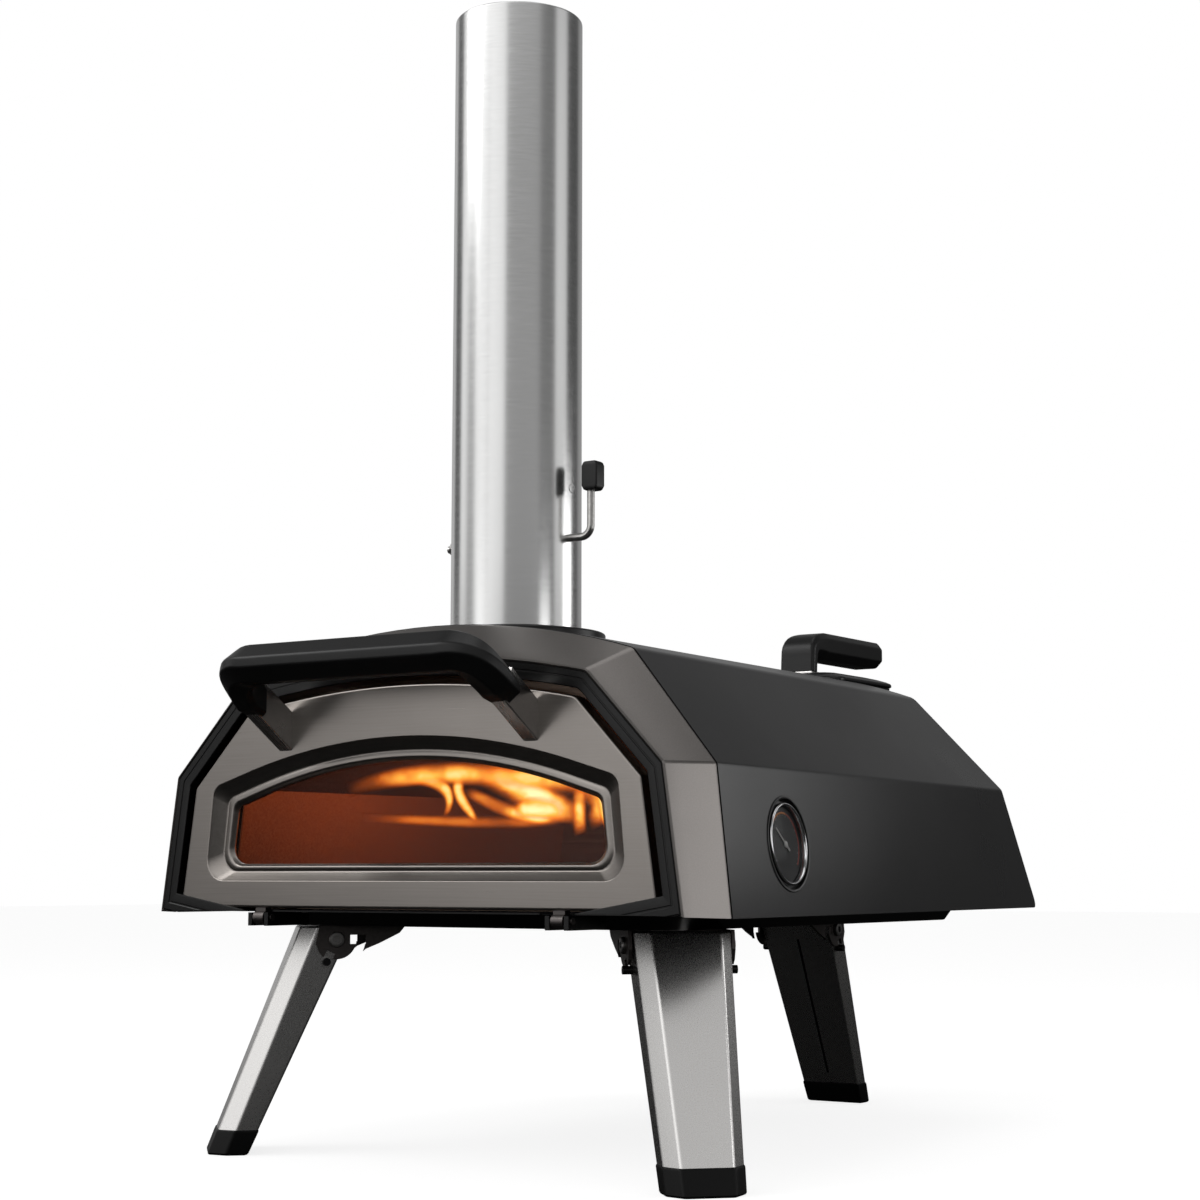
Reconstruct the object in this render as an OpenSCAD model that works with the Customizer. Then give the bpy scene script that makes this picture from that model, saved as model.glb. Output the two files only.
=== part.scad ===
// Wood fired pizza oven: insulated steel body on three folding legs, glazed drop-down door,
// removable flue with a butterfly damper, rear fuel box with a lift-off hatch and a sliding fuel tray.
// Written with y = 0 at the bezel's front edge, then moved so that the origin is the base's centre.

/* [Body] */
// Width across the bezel's rear edge, the widest place
body_w = 415; // [405:1:425]
// Height of the body's bottom edge above the ground
body_z = 151; // [149:1:153]
// Length of the side walls at the bottom edge
body_l = 528; // [520:1:540]
// Width across the rear bottom corners
rear_w = 351; // [340:1:360]
// Height of the crease between the side wall and the upper slope
crease_z = 236; // [232:1:238]
// Width across the creases at the bezel's rear edge
crease_w = 396.6; // [392:0.2:400]
// Height of the shoulder where the arched roof starts
shoulder_z = 303; // [300:1:305]
// Width across the shoulders
shoulder_w = 287.6; // [280:0.2:292]
// Height of the roof's middle
apex_z = 324; // [322:1:326]
// Lean of the rear end from the vertical, in degrees
rear_lean = 28; // [27:0.5:31]

/* [Bezel and door] */
// Depth of the flared bezel
bezel_d = 28.7; // [24:0.1:32]
// Width across the front edge's bottom corners
front_w = 386.4; // [380:0.2:392]
// Width across the front edge's creases
front_crease_w = 362.6; // [358:0.2:366]
// Width across the front edge's shoulders
front_shoulder_w = 261; // [256:1:266]
// Height of the front edge's shoulders
front_shoulder_z = 289; // [287:0.5:291]
// Height of the front edge's middle
front_apex_z = 302.5; // [300:0.5:304]
// Distance from the bezel's front edge to the door all round
door_inset = 16; // [15:0.5:17]
// Thickness of the door's heat-proof glass
glass_t = 4; // [3:0.5:5]
// Reach of the door handle in front of the bezel
handle_reach = 64; // [60:1:70]

/* [Flue] */
// Height of the flue's rim above the ground
flue_top_z = 730; // [650:1:780]
// Outer radius of the flue tube
flue_r = 41.6; // [40:0.1:43]
// Distance of the flue's axis behind the bezel's front edge
flue_y = 113.5; // [105:0.5:120]
// Height of the damper's shaft
damper_z = 385; // [378:1:410]

/* [Legs] */
// Lean of each leg from the vertical, in degrees
leg_lean = 24.2; // [20:0.2:27]
// Direction of the front legs from straight sideways, in degrees
leg_splay = 45; // [42:1:47]
// Sideways distance of the front legs' pivots from the middle
leg_x = 131.6; // [129:0.2:136]
// Distance of the front legs' pivots behind the bezel's front edge
leg_y = 94.4; // [90:0.2:98]
// Distance of the rear leg's pivot behind the bezel's front edge
rear_leg_y = 485; // [480:1:490]
// Height of the leg pivots
pivot_z = 134; // [133:0.5:134.5]

/* [Fuel box] */
// Width of the fuel box
fuel_w = 144; // [136:1:150]
// Distance of the fuel box's rear face behind the bezel's front edge
fuel_rear_y = 548; // [544:1:556]
// Travel of the fuel tray
tray_travel = 90; // [60:5:95]

/* [Hidden] */
$fn = 64;

sheet = 1.2;             // body sheet steel
gap = 0.4;               // room between pieces that move past each other
arch_steps = 16;         // flat steps that make up the arched roof
grip_end_y = 606;        // rear end of the hatch grip
tray_pull_y = 604;       // rear end of the tray's pull
centre_y = (grip_end_y - handle_reach) / 2;

// ---- outlines in the x-z plane, anticlockwise seen from the front ----
function unit(v) = v / norm(v);
function inward(a, b) = let(u = unit(b - a)) [-u[1], u[0]];
function inset_pt(a, b, c, d) = let(n = inward(a, b), m = inward(b, c)) b + d * (n + m) / (1 + n * m);
function inset(p, d) =
  let(n = len(p)) [for (i = [0:n - 1]) inset_pt(p[(i + n - 1) % n], p[i], p[(i + 1) % n], d)];
// Arch from the right shoulder over the middle to the left one
function arch(ws, zs, za) =
  let(r = (ws * ws + (za - zs) * (za - zs)) / (2 * (za - zs)), a = asin(ws / r))
  [for (i = [0:arch_steps]) let(t = a * (1 - 2 * i / arch_steps)) [r * sin(t), za - r + r * cos(t)]];
function outline(wb, zb, wc, zc, ws, zs, za) =
  concat([[wb, zb], [wc, zc]], arch(ws, zs, za), [[-wc, zc], [-wb, zb]]);
// The same outline with its bottom edge moved to a new height
function with_bottom(p, z) =
  let(n = len(p), s = (p[0][0] - p[1][0]) / (p[0][1] - p[1][1]), x = p[0][0] + s * (z - p[0][1]))
  [for (i = [0:n - 1]) i == 0 ? [x, z] : i == n - 1 ? [-x, z] : p[i]];
function between(p, q, t) = [for (i = [0:len(p) - 1]) p[i] * (1 - t) + q[i] * t];
// Outline with its sides moved in and its arched roof narrowed to match
function narrowed(p, d) =
  let(n = len(p), w = p[2][0])
  [for (i = [0:n - 1]) [i < 2 ? p[i][0] - d : i > n - 3 ? p[i][0] + d : p[i][0] * (1 - d / w), p[i][1]]];

front_line = outline(front_w / 2, body_z + 1, front_crease_w / 2, crease_z,
                     front_shoulder_w / 2, front_shoulder_z, front_apex_z);
body_line = outline(body_w / 2, body_z, crease_w / 2, crease_z, shoulder_w / 2, shoulder_z, apex_z);
// How far each side of the tapering body has moved in, at a distance behind the front edge
function taper(y) = (body_w - rear_w) / 2 * (y - bezel_d) / (body_l - bezel_d);
function body_at(y, d) = narrowed(inset(body_line, d), taper(y));

module loft(p0, y0, p1, y1) {
  n = len(p0);
  polyhedron(
    points = concat([for (q = p0) [q[0], y0, q[1]]], [for (q = p1) [q[0], y1, q[1]]]),
    faces = concat([[for (i = [n - 1:-1:0]) i]], [[for (i = [0:n - 1]) n + i]],
                   [for (i = [0:n - 1]) let(j = (i + 1) % n) i < n / 2 ? [i, j, n + j] : [i, j, n + i]],
                   [for (i = [0:n - 1]) let(j = (i + 1) % n) i < n / 2 ? [i, n + j, n + i] : [j, n + j, n + i]]));
}
// Flat plate with a front-view outline, from y0 to y1
module plate(p, y0, y1) translate([0, y1, 0]) rotate([90, 0, 0]) linear_extrude(y1 - y0) polygon(p);
module box(lo, hi) translate(lo) cube(hi - lo);
module rod_x(r, x0, x1, y, z) translate([x0, y, z]) rotate([0, 90, 0]) cylinder(r = r, h = x1 - x0);
module rod_y(r, y0, y1, x, z) translate([x, y0, z]) rotate([-90, 0, 0]) cylinder(r = r, h = y1 - y0);
module both_sides() {
  children();
  mirror([1, 0, 0]) children();
}
// Everything behind the leaning rear end, shifted back by a distance square to it
module behind_rear(d) translate([-300, body_l, body_z]) rotate([rear_lean, 0, 0])
  translate([0, d, -300]) cube([600, 600, 900]);
module in_place() translate([0, -centre_y, 0]) children();

// ---- body ----
liner_d = 13;            // from the shell's outside to the liner's outside
liner_rear_y = 404;
liner_floor_z = 160;
wall_y = 20;             // front wall that the door closes on
wall_line = inset(between(front_line, body_line, wall_y / bezel_d), 2);
mouth_z = 176;
mouth_line = with_bottom(inset(front_line, 23), mouth_z);

module outer_shell() color("#232425") in_place() difference() {
  loft(body_at(bezel_d, 0), bezel_d, body_at(600, 0), 600);
  loft(with_bottom(body_at(bezel_d - 1, sheet), body_z - 5), bezel_d - 1,
       with_bottom(body_at(601, sheet), body_z - 5), 601);
  behind_rear(0);
  translate([0, flue_y, apex_z - 30]) cylinder(r = collar_r + 0.1, h = 60);
  gauge_frame() cylinder(r = gauge_hole_r, h = 20, center = true);
}
module front_bezel() color("#7b7671") in_place() difference() {
  loft(front_line, 0, body_line, bezel_d);
  loft(with_bottom(inset(front_line, 1.5), body_z - 5), -0.5,
       with_bottom(inset(body_line, 1.5), body_z - 5), bezel_d + 0.5);
}
frame_w = 11.5;          // from the bezel's front edge to the frame's inner edge
module front_frame() color("#161616") in_place() {
  outer = inset(front_line, 1.6);
  inner = with_bottom(inset(front_line, frame_w), body_z + 2.6);
  back = with_bottom(inset(front_line, frame_w - sheet), body_z + 1.6);
  difference() {
    union() {
      plate(with_bottom(outer, body_z + 1.6), 0.4, 0.4 + sheet);
      plate(back, 0.4, wall_y);
    }
    plate(inner, -1, wall_y + 1);
    // slots for the door's hinge lugs
    both_sides() box([hinge_x - 12, 0, body_z], [hinge_x + 12, 16, body_z + 4]);
  }
}
module front_wall() color("#8f8b86") in_place() difference() {
  plate(with_bottom(wall_line, body_z + 3), wall_y, wall_y + 1.5);
  plate(mouth_line, wall_y - 1, wall_y + 3);
}
module base_plate() color("#2a2a2a") in_place() difference() {
  loft(with_bottom(body_at(bezel_d + 0.3, sheet + 0.2), body_z + 1), bezel_d + 0.3,
       with_bottom(body_at(body_l - 3, sheet + 0.2), body_z + 1), body_l - 3);
  box([-300, 0, body_z + 1 + 1.5], [300, 700, 400]);
}
// Shallow tray under the base, seen from above
pan_line = [[150, 60], [140, 448], [95, 500], [-95, 500], [-140, 448], [-150, 60]];
pan_z = 143;
pan_lip = 6;             // how far the tray's sides lean out
module base_pan() color("#1c1c1c") in_place() difference() {
  pan_block(0, body_z + 1);
  pan_block(1.5, body_z + 1.1);
}
module pan_block(d, top_z) {
  low = inset(pan_line, d);
  top = inset(pan_line, d - pan_lip);
  n = len(low);
  polyhedron(points = concat([for (q = low) [q[0], q[1], pan_z + d]], [for (q = top) [q[0], q[1], top_z]]),
             faces = concat([[for (i = [0:n - 1]) i]], [[for (i = [n - 1:-1:0]) n + i]],
                            [for (i = [0:n - 1]) [i, n + i, n + (i + 1) % n, (i + 1) % n]]));
}
module rear_panel() color("#232425") in_place() difference() {
  intersection() {
    loft(with_bottom(body_at(bezel_d, sheet + 0.1), body_z + 2.7), bezel_d,
         with_bottom(body_at(600, sheet + 0.1), body_z + 2.7), 600);
    behind_rear(-2);
  }
  behind_rear(-0.5);
  box([-fuel_w / 2 - 0.3, 300, fuel_floor_z - 0.3], [fuel_w / 2 + 0.3, 700, fuel_top_z + 0.3]);
}
module inner_liner() color("#a39c93") in_place() difference() {
  liner_block(0, wall_y + 1.6, liner_rear_y);
  liner_block(sheet, wall_y - 1, liner_rear_y - sheet);
  // throat into the fuel box, flue and thermometer
  box([-throat_w / 2, liner_rear_y - 5, throat_low_z], [throat_w / 2, liner_rear_y + 5, throat_top_z]);
  translate([0, flue_y, apex_z - 40]) cylinder(r = spigot_r, h = 60);
  gauge_frame() cylinder(r = 4, h = 60, center = true);
}
module liner_block(d, y0, y1)
  loft(with_bottom(body_at(y0, liner_d + d), liner_floor_z + d), y0,
       with_bottom(body_at(y1, liner_d + d), liner_floor_z + d), y1);
module insulation_blanket() color("#d9d4c8") in_place() difference() {
  y0 = bezel_d + 2;
  y1 = liner_rear_y - 2;
  loft(with_bottom(body_at(y0, sheet + 0.4), liner_floor_z), y0,
       with_bottom(body_at(y1, sheet + 0.4), liner_floor_z), y1);
  loft(with_bottom(body_at(y0 - 1, liner_d - 0.4), liner_floor_z - 5), y0 - 1,
       with_bottom(body_at(y1 + 1, liner_d - 0.4), liner_floor_z - 5), y1 + 1);
  translate([0, flue_y, apex_z - 40]) cylinder(r = collar_r + 0.4, h = 60);
  gauge_frame() cylinder(r = gauge_hole_r + 1, h = 40, center = true);
  behind_rear(-2.6);
}

// ---- inside ----
stone = [326, 326, 10];
stone_y = 34;
stone_z = 166;
module pizza_stone() color("#c9b28c") in_place()
  box([-stone[0] / 2, stone_y, stone_z], [stone[0] / 2, stone_y + stone[1], stone_z + stone[2]]);
rail_w = 26;
module stone_rails() color("#8f8b86") in_place() {
  for (y = [stone_y + 4, stone_y + stone[1] - rail_w - 4])
    difference() {
      box([-150, y, liner_floor_z + sheet], [150, y + rail_w, stone_z]);
      box([-151, y + sheet, liner_floor_z + sheet - 1], [151, y + rail_w - sheet, stone_z - sheet]);
    }
}
throat_w = 124;
throat_low_z = 168;
throat_top_z = 250;
module flame_guard() color("#77726c") in_place() {
  y = stone_y + stone[1] + 8;
  box([-140, y, liner_floor_z + sheet], [140, y + sheet, stone_z + stone[2] + 8]);
  box([-140, y + sheet, liner_floor_z + sheet], [140, y + 14, liner_floor_z + 2 * sheet]);
}

// ---- door, hinged along its bottom edge ----
hinge_x = 111;
hinge_y = 3.5;
hinge_z = 149;
door_line = with_bottom(inset(front_line, door_inset), body_z + 4);
press_line = outline(156.4, 171, 151, 229, 118, 239, 256);
window_line = outline(140, 181.5, 135.5, 217, 106, 226.5, 242);
glass_line = inset(window_line, -7);
panel_y = 1;
press_d = 7;             // depth of the pressed window surround
module door_panel() color("#7b7671") in_place() {
  difference() {
    plate(door_line, panel_y, panel_y + sheet);
    plate(press_line, -1, 10);
    both_sides() rod_y(bracket_screw_r, -1, 10, bracket_x, bracket_screw_z);
  }
  difference() {
    plate(press_line, panel_y, panel_y + press_d);
    plate(inset(press_line, sheet), 0, panel_y + press_d - sheet);
    plate(window_line, 0, 12);
  }
  // turned-back edge all round
  difference() {
    plate(door_line, panel_y + sheet, panel_y + 9);
    plate(inset(door_line, sheet), 0, 12);
    both_sides() box([hinge_x - lug_w / 2 - 0.4, panel_y, body_z], [hinge_x + lug_w / 2 + 0.4, 12, body_z + 8]);
  }
}
glass_y = panel_y + press_d + 0.6;
module door_glass() color("#5a3a22", 0.5) in_place() plate(glass_line, glass_y, glass_y + glass_t);
module door_gasket() color("#2b2b2b") in_place() difference() {
  plate(inset(glass_line, -1), panel_y + press_d, glass_y);
  plate(inset(window_line, -1.5), 0, 20);
}
frame_back_y = glass_y + glass_t;
module door_back_frame() color("#2f2d2b") in_place() difference() {
  union() {
    difference() {
      plate(inset(door_line, sheet + 0.2), frame_back_y, frame_back_y + 1.5);
      plate(inset(window_line, -1), 0, 30);
    }
    both_sides() hinge_lug();
  }
  both_sides() rod_x(pin_r + 0.05, hinge_x - 20, hinge_x + 20, hinge_y, hinge_z);
}
pin_r = 2;
lug_w = 8;
module hinge_lug() {
  rod_x(4, hinge_x - lug_w / 2, hinge_x + lug_w / 2, hinge_y, hinge_z);
  box([hinge_x - lug_w / 2, panel_y + sheet + 0.1, hinge_z], [hinge_x + lug_w / 2, hinge_y + 4, hinge_z + 16]);
  box([hinge_x - lug_w / 2, hinge_y + 2, hinge_z + 12],
      [hinge_x + lug_w / 2, frame_back_y + 0.01, hinge_z + 16]);
}
module door_frame_screws() color("#9a9a9a") in_place() {
  both_sides() for (q = [[152, 186], [146, 222]]) {
    rod_y(3, frame_back_y + 1.5, frame_back_y + 2.9, q[0], q[1]);
  }
}
bracket_x = 92;
bracket_screw_z = 262;
bracket_screw_r = 2.5;
arm_rise = 33;           // tilt of the handle's arms above the horizontal
// Folded steel arm between the door and the grip, on the right
module handle_bracket() difference() {
  translate([bracket_x, panel_y, bracket_screw_z]) rotate([-arm_rise, 0, 0]) difference() {
    translate([-5, -40, -10]) cube([10, 60, 20]);
    translate([-3.5, -41, -8.5]) cube([7, 36, 17]);
  }
  box([0, panel_y, 0], [300, 100, 500]);
  rod_y(bracket_screw_r, -10, panel_y + 1, bracket_x, bracket_screw_z);
}
module door_handle_bracket_right() color("#a8a5a1") in_place() handle_bracket();
module door_handle_bracket_left() color("#a8a5a1") in_place() mirror([1, 0, 0]) handle_bracket();
module door_handle_grip() color("#141414") in_place() difference() {
  union() {
    grip_bar();
    both_sides() grip_arm();
  }
  // sockets for the arms
  both_sides() translate([bracket_x, panel_y, bracket_screw_z]) rotate([-arm_rise, 0, 0])
    translate([-5, -40, -10]) cube([10, 41, 20]);
  // flat end faces towards the door
  box([-200, -26, 200], [200, 60, 400]);
}
// Section of the front bar, [towards the door, up]
grip_sec = [[-13, -3], [-4, -11.5], [8, -11.5], [11, -8], [11, 8], [8, 11.5], [-4, 11.5], [-13, 3]];
grip_y = 13 - handle_reach;
grip_z = 298;
grip_half = 75;
module grip_slice(x, l) translate([x, grip_y, grip_z]) rotate([90, 0, 90]) linear_extrude(l) polygon(grip_sec);
module grip_bar() grip_slice(-grip_half, 2 * grip_half);
module grip_arm() hull() {
  grip_slice(grip_half - 4, 10);
  translate([bracket_x - 9, -30, 278]) rotate([-arm_rise, 0, 0]) translate([0, -8, -11]) cube([20, 16, 21]);
}
module door_handle_screws() color("#5c5c5c") in_place() both_sides() {
  rod_y(bracket_screw_r, panel_y - 3, panel_y + sheet, bracket_x, bracket_screw_z);
  rod_y(4.5, panel_y + sheet, panel_y + sheet + 2.2, bracket_x, bracket_screw_z);
}
module door_hinge_brackets() color("#3a3a3a") in_place() both_sides() difference() {
  box([hinge_x - 8, 0, hinge_z - 5], [hinge_x + 8, 38, body_z + 1]);
  // channel for the screw, open at the front for the door's lug
  box([hinge_x - 5, -1, hinge_z - 6], [hinge_x + 5, 40, hinge_z]);
  box([hinge_x - 5, -1, hinge_z - 6], [hinge_x + 5, 12, body_z + 2]);
  rod_x(pin_r, hinge_x - 20, hinge_x + 20, hinge_y, hinge_z);
}
module door_hinge_pins() color("#b5b5b5") in_place() both_sides()
  rod_x(pin_r, hinge_x - 9, hinge_x + 9, hinge_y, hinge_z);
module door_hinge_screws() color("#8a8a8a") in_place() both_sides() translate([hinge_x, 17, 0]) {
  translate([0, 0, body_z - 3]) cylinder(r = 4.6, h = 1);
  translate([0, 0, body_z - 6]) cylinder(r = 3.6, h = 3);
}

// ---- flue ----
collar_r = 57;
collar_top = apex_z + 2.5;
spigot_r = flue_r - 1.9;
module flue_collar() color("#1a1a1a") in_place() translate([0, flue_y, 0]) rotate_extrude()
  polygon([[spigot_r - 1.2, apex_z - 22], [spigot_r, apex_z - 22], [spigot_r, collar_top - 1.8],
           [collar_r - 1.8, collar_top - 1.8], [collar_r - 1.8, collar_top - 14],
           [collar_r, collar_top - 14], [collar_r, collar_top - 1.5], [collar_r - 1.5, collar_top],
           [spigot_r, collar_top], [spigot_r, collar_top + 24], [spigot_r - 1.2, collar_top + 24]]);
module flue_seal_ring() color("#3b3b3b") in_place() translate([0, flue_y, 0]) rotate_extrude()
  polygon([[spigot_r + 0.3, collar_top + 0.1], [flue_r, collar_top + 0.1], [flue_r, collar_top + 1.6],
           [spigot_r + 0.3, collar_top + 1.6]]);
tube_z = collar_top + 1.7;
module flue_tube() color("#b9b9b9") in_place() difference() {
  translate([0, flue_y, tube_z]) cylinder(r = flue_r, h = flue_top_z - tube_z, $fn = 96);
  translate([0, flue_y, tube_z - 1]) cylinder(r = flue_r - 1, h = 600, $fn = 96);
  rod_x(damper_r + 0.05, -60, 60, flue_y, damper_z);
}
damper_r = 2.4;
lever_x = 57.3;
module damper_plate() color("#8d8d8d") in_place() difference() {
  translate([0, flue_y - 0.6, damper_z]) rotate([-90, 0, 0]) cylinder(r = flue_r - 2.4, h = 1.2);
  rod_x(damper_r, -60, 60, flue_y, damper_z);
}
module damper_rod() color("#b0b0b0") in_place() translate([0, flue_y, damper_z]) {
  bend = 6;
  rod_x(damper_r, -54, lever_x - bend, 0, 0);
  translate([lever_x - bend, 0, bend]) rotate([90, 0, 0]) rotate([0, 0, -90])
    rotate_extrude(angle = 90) translate([bend, 0]) circle(r = damper_r);
  translate([lever_x, 0, bend]) cylinder(r = damper_r, h = 27);
}
module damper_knob() color("#121212") in_place() translate([lever_x, flue_y, damper_z + 28.5]) difference() {
  translate([-4.5, -5, 0]) cube([12, 10, 18.5]);
  translate([0, 0, -1]) cylinder(r = damper_r, h = 5.5);
}
module damper_nut() color("#8a8a8a") in_place() difference() {
  rod_x(4.4, -52, -46, flue_y, damper_z);
  rod_x(damper_r, -60, -40, flue_y, damper_z);
}

// ---- thermometer on the right-hand wall ----
gauge_y = 110;
gauge_z = 192.5;
gauge_hole_r = 27.1;
wall_lean = atan((body_w - crease_w) / 2 / (crease_z - body_z));
wall_turn = atan((body_w - rear_w) / 2 / (body_l - bezel_d));
gauge_x = body_w / 2 - (gauge_z - body_z) * tan(wall_lean) - taper(gauge_y);
// Local z is square to the wall and points outward, local y is up
module gauge_frame() translate([gauge_x, gauge_y, gauge_z]) rotate([0, 0, wall_turn])
  rotate([0, 90 - wall_lean, 0]) rotate([0, 0, 90]) children();
// Recessed case with the stem that reaches through the liner into the oven
module thermometer_case() color("#141414") in_place() gauge_frame() rotate_extrude()
  polygon([[0, -34], [3, -34], [3, -9], [22, -9], [22, -4.2], [27, -4.2], [27, 0.1], [28, 0.1], [28, 0.6],
           [26.2, 0.6], [26.2, -3.2], [0, -3.2]]);
module thermometer_ring() color("#c8c8c8") in_place() gauge_frame() rotate_extrude()
  polygon([[21.9, -3.2], [24, -3.2], [24, 0.2], [23.4, 0.9], [22.6, 0.9], [21.9, 0.2]]);
module thermometer_dial() color("#101010") in_place() gauge_frame()
  translate([0, 0, -3.2]) cylinder(r = 21.7, h = 0.8);
needle_angle = 140;
module thermometer_needle() color("#d8d8d8") in_place() gauge_frame() {
  translate([0, 0, -2.05]) cylinder(r = 2, h = 0.9);
  rotate([0, 0, needle_angle]) translate([-4, -0.5, -1.8]) cube([19, 1, 0.4]);
}
module thermometer_lens() color("#c0d0d8", 0.3) in_place() gauge_frame()
  translate([0, 0, -0.8]) cylinder(r = 21.8, h = 0.9);

// ---- fuel box, hatch and tray ----
fuel_floor_z = 160;
fuel_top_z = 306;
fuel_front_y = liner_rear_y + 0.4;
hatch_w = 110;
hatch_y0 = 446;
hatch_y1 = 534;
port_low_z = fuel_floor_z + 3;
port_top_z = 216;
port_w = 112;
burner_hole_x = 64;
burner_hole_z = 190;
module fuel_box() color("#2a2a2a") in_place() difference() {
  box([-fuel_w / 2, fuel_front_y, fuel_floor_z], [fuel_w / 2, fuel_rear_y, fuel_top_z]);
  box([-fuel_w / 2 + 1.5, fuel_front_y + 1.5, fuel_floor_z + 1.5],
      [fuel_w / 2 - 1.5, fuel_rear_y - 1.5, fuel_top_z - 1.5]);
  box([-throat_w / 2, fuel_front_y - 1, throat_low_z], [throat_w / 2, fuel_front_y + 3, throat_top_z]);
  box([-hatch_w / 2 + 6, hatch_y0 + 6, fuel_top_z - 3], [hatch_w / 2 - 6, hatch_y1 - 6, fuel_top_z + 1]);
  box([-port_w / 2, fuel_rear_y - 3, port_low_z], [port_w / 2, fuel_rear_y + 1, port_top_z]);
  both_sides() rod_y(2.1, fuel_rear_y - 3, fuel_rear_y + 1, burner_hole_x, burner_hole_z);
}
hatch_frame_z = 319;
module hatch_frame() color("#1d1d1d") in_place() difference() {
  box([-hatch_w / 2, hatch_y0, fuel_top_z], [hatch_w / 2, hatch_y1, hatch_frame_z]);
  box([-hatch_w / 2 + 6, hatch_y0 + 6, fuel_top_z - 1], [hatch_w / 2 - 6, hatch_y1 - 6, hatch_frame_z + 1]);
}
lid_top_z = 328;
module hatch_lid() color("#1a1a1a") in_place() difference() {
  union() {
    hull() {
      box([-hatch_w / 2 - 4, hatch_y0 - 4, hatch_frame_z + 0.1],
          [hatch_w / 2 + 4, hatch_y1 + 2, hatch_frame_z + 3]);
      box([-hatch_w / 2 + 20, hatch_y0 + 18, hatch_frame_z + 3], [hatch_w / 2 - 20, hatch_y1 - 30, lid_top_z]);
    }
    // rim that locates the lid in its frame
    box([-hatch_w / 2 + 7, hatch_y0 + 7, hatch_frame_z - 6],
        [hatch_w / 2 - 7, hatch_y1 - 7, hatch_frame_z + 0.2]);
  }
  box([-hatch_w / 2 + 9, hatch_y0 + 9, hatch_frame_z - 7], [hatch_w / 2 - 9, hatch_y1 - 9, hatch_frame_z + 1.5]);
}
strap_y = 484;
grip_low_z = 342;
grip_top_z = 363;
module hatch_handle_foot() color("#a8a5a1") in_place()
  box([-14, strap_y - 1, lid_top_z], [14, strap_y + 13, lid_top_z + 3]);
module hatch_handle_grip() color("#141414") in_place() {
  hull() {
    box([-15, strap_y, lid_top_z + 3], [15, strap_y + 5, grip_top_z - 10]);
    box([-15, strap_y + 6, grip_top_z - 6], [15, strap_y + 12, grip_top_z]);
  }
  translate([0, grip_end_y, (grip_low_z + grip_top_z) / 2]) rotate([90, 0, 0])
    linear_extrude(grip_end_y - strap_y - 6)
    polygon([[-15, -4], [-9, -10.5], [9, -10.5], [15, -4], [15, 5], [11, 10.5], [-11, 10.5], [-15, 5]]);
}
tray_floor_z = fuel_floor_z + 1.5 + gap;
tray_w = port_w - 2;
tray_rim_z = port_top_z - 10;
module fuel_tray() color("#8c8780") in_place() difference() {
  box([-tray_w / 2, fuel_front_y + 12, tray_floor_z + 2], [tray_w / 2, fuel_rear_y + 0.5, tray_rim_z]);
  box([-tray_w / 2 + sheet, fuel_front_y + 12 + sheet, tray_floor_z + 2 + sheet],
      [tray_w / 2 - sheet, fuel_rear_y - 4, port_top_z]);
}
// Plate that closes the port, with air slots above the tray's rim
module tray_face_plate() color("#2a2a2a") in_place() difference() {
  box([-port_w / 2 - 3, fuel_rear_y + 0.5, port_low_z - 1], [port_w / 2 + 3, fuel_rear_y + 2.5, port_top_z + 5]);
  for (i = [-2:2])
    box([i * 20 - 7, fuel_rear_y - 1, tray_rim_z + 3], [i * 20 + 7, fuel_rear_y + 4, tray_rim_z + 7]);
}
grate_z = tray_floor_z + 20;
module fuel_grate() color("#6f6a63") in_place() {
  y0 = fuel_front_y + 16;
  y1 = fuel_rear_y - 8;
  both_sides() box([tray_w / 2 - 8, y0, grate_z], [tray_w / 2 - sheet, y1, grate_z + 3]);
  for (i = [0:8])
    box([-tray_w / 2 + 7, y0 + 2 + i * 13, grate_z], [tray_w / 2 - 7, y0 + 6 + i * 13, grate_z + 3]);
}
module tray_handle() color("#141414") in_place() translate([0, 0, 196]) {
  translate([-45, tray_pull_y - 16, -8]) cube([90, 16, 16]);
  both_sides() rod_y(4, fuel_rear_y + 2.5, tray_pull_y - 15, 34, 0);
}
module tray_handle_screws() color("#9a9a9a") in_place() both_sides() {
  rod_y(3.5, tray_pull_y, tray_pull_y + 1.6, 34, 196);
}

// ---- folding legs ----
leg_top_half = 29;
leg_foot_half = 22;
leg_top_t = 30;
leg_foot_t = 21;
inner_d = 6;             // from the pivot to the leg's inner face
leg_top = 5.5;           // from the pivot to the leg's upper end
foot_h = 15.5;
leg_len = 165;
pivot_r = 3;
// Section of a leg: a box with two chamfered outer edges, [side, outward]
function leg_section(h, t, d) =
  [[h - d, -inner_d + d], [h - d, t - inner_d - 10 + d * 0.3], [h - 8 - d * 0.4, t - inner_d - d],
   [-h + 8 + d * 0.4, t - inner_d - d], [-h + d, t - inner_d - 10 + d * 0.3], [-h + d, -inner_d + d]];
function leg_half(z) = leg_top_half + (leg_foot_half - leg_top_half) * -z / leg_len;
function leg_thick(z) = leg_top_t + (leg_foot_t - leg_top_t) * -z / leg_len;
// Part of the tapered leg between two heights below the pivot, thinned by d
module leg_block(z0, z1, d) {
  a = leg_section(leg_half(z0), leg_thick(z0), d);
  b = leg_section(leg_half(z1), leg_thick(z1), d);
  n = len(a);
  polyhedron(points = concat([for (q = a) [q[0], q[1], z0]], [for (q = b) [q[0], q[1], z1]]),
             faces = concat([[for (i = [n - 1:-1:0]) i]], [[for (i = [0:n - 1]) n + i]],
                            [for (i = [0:n - 1]) [i, (i + 1) % n, n + (i + 1) % n, n + i]]));
}
heading = 90 + leg_splay;
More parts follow.
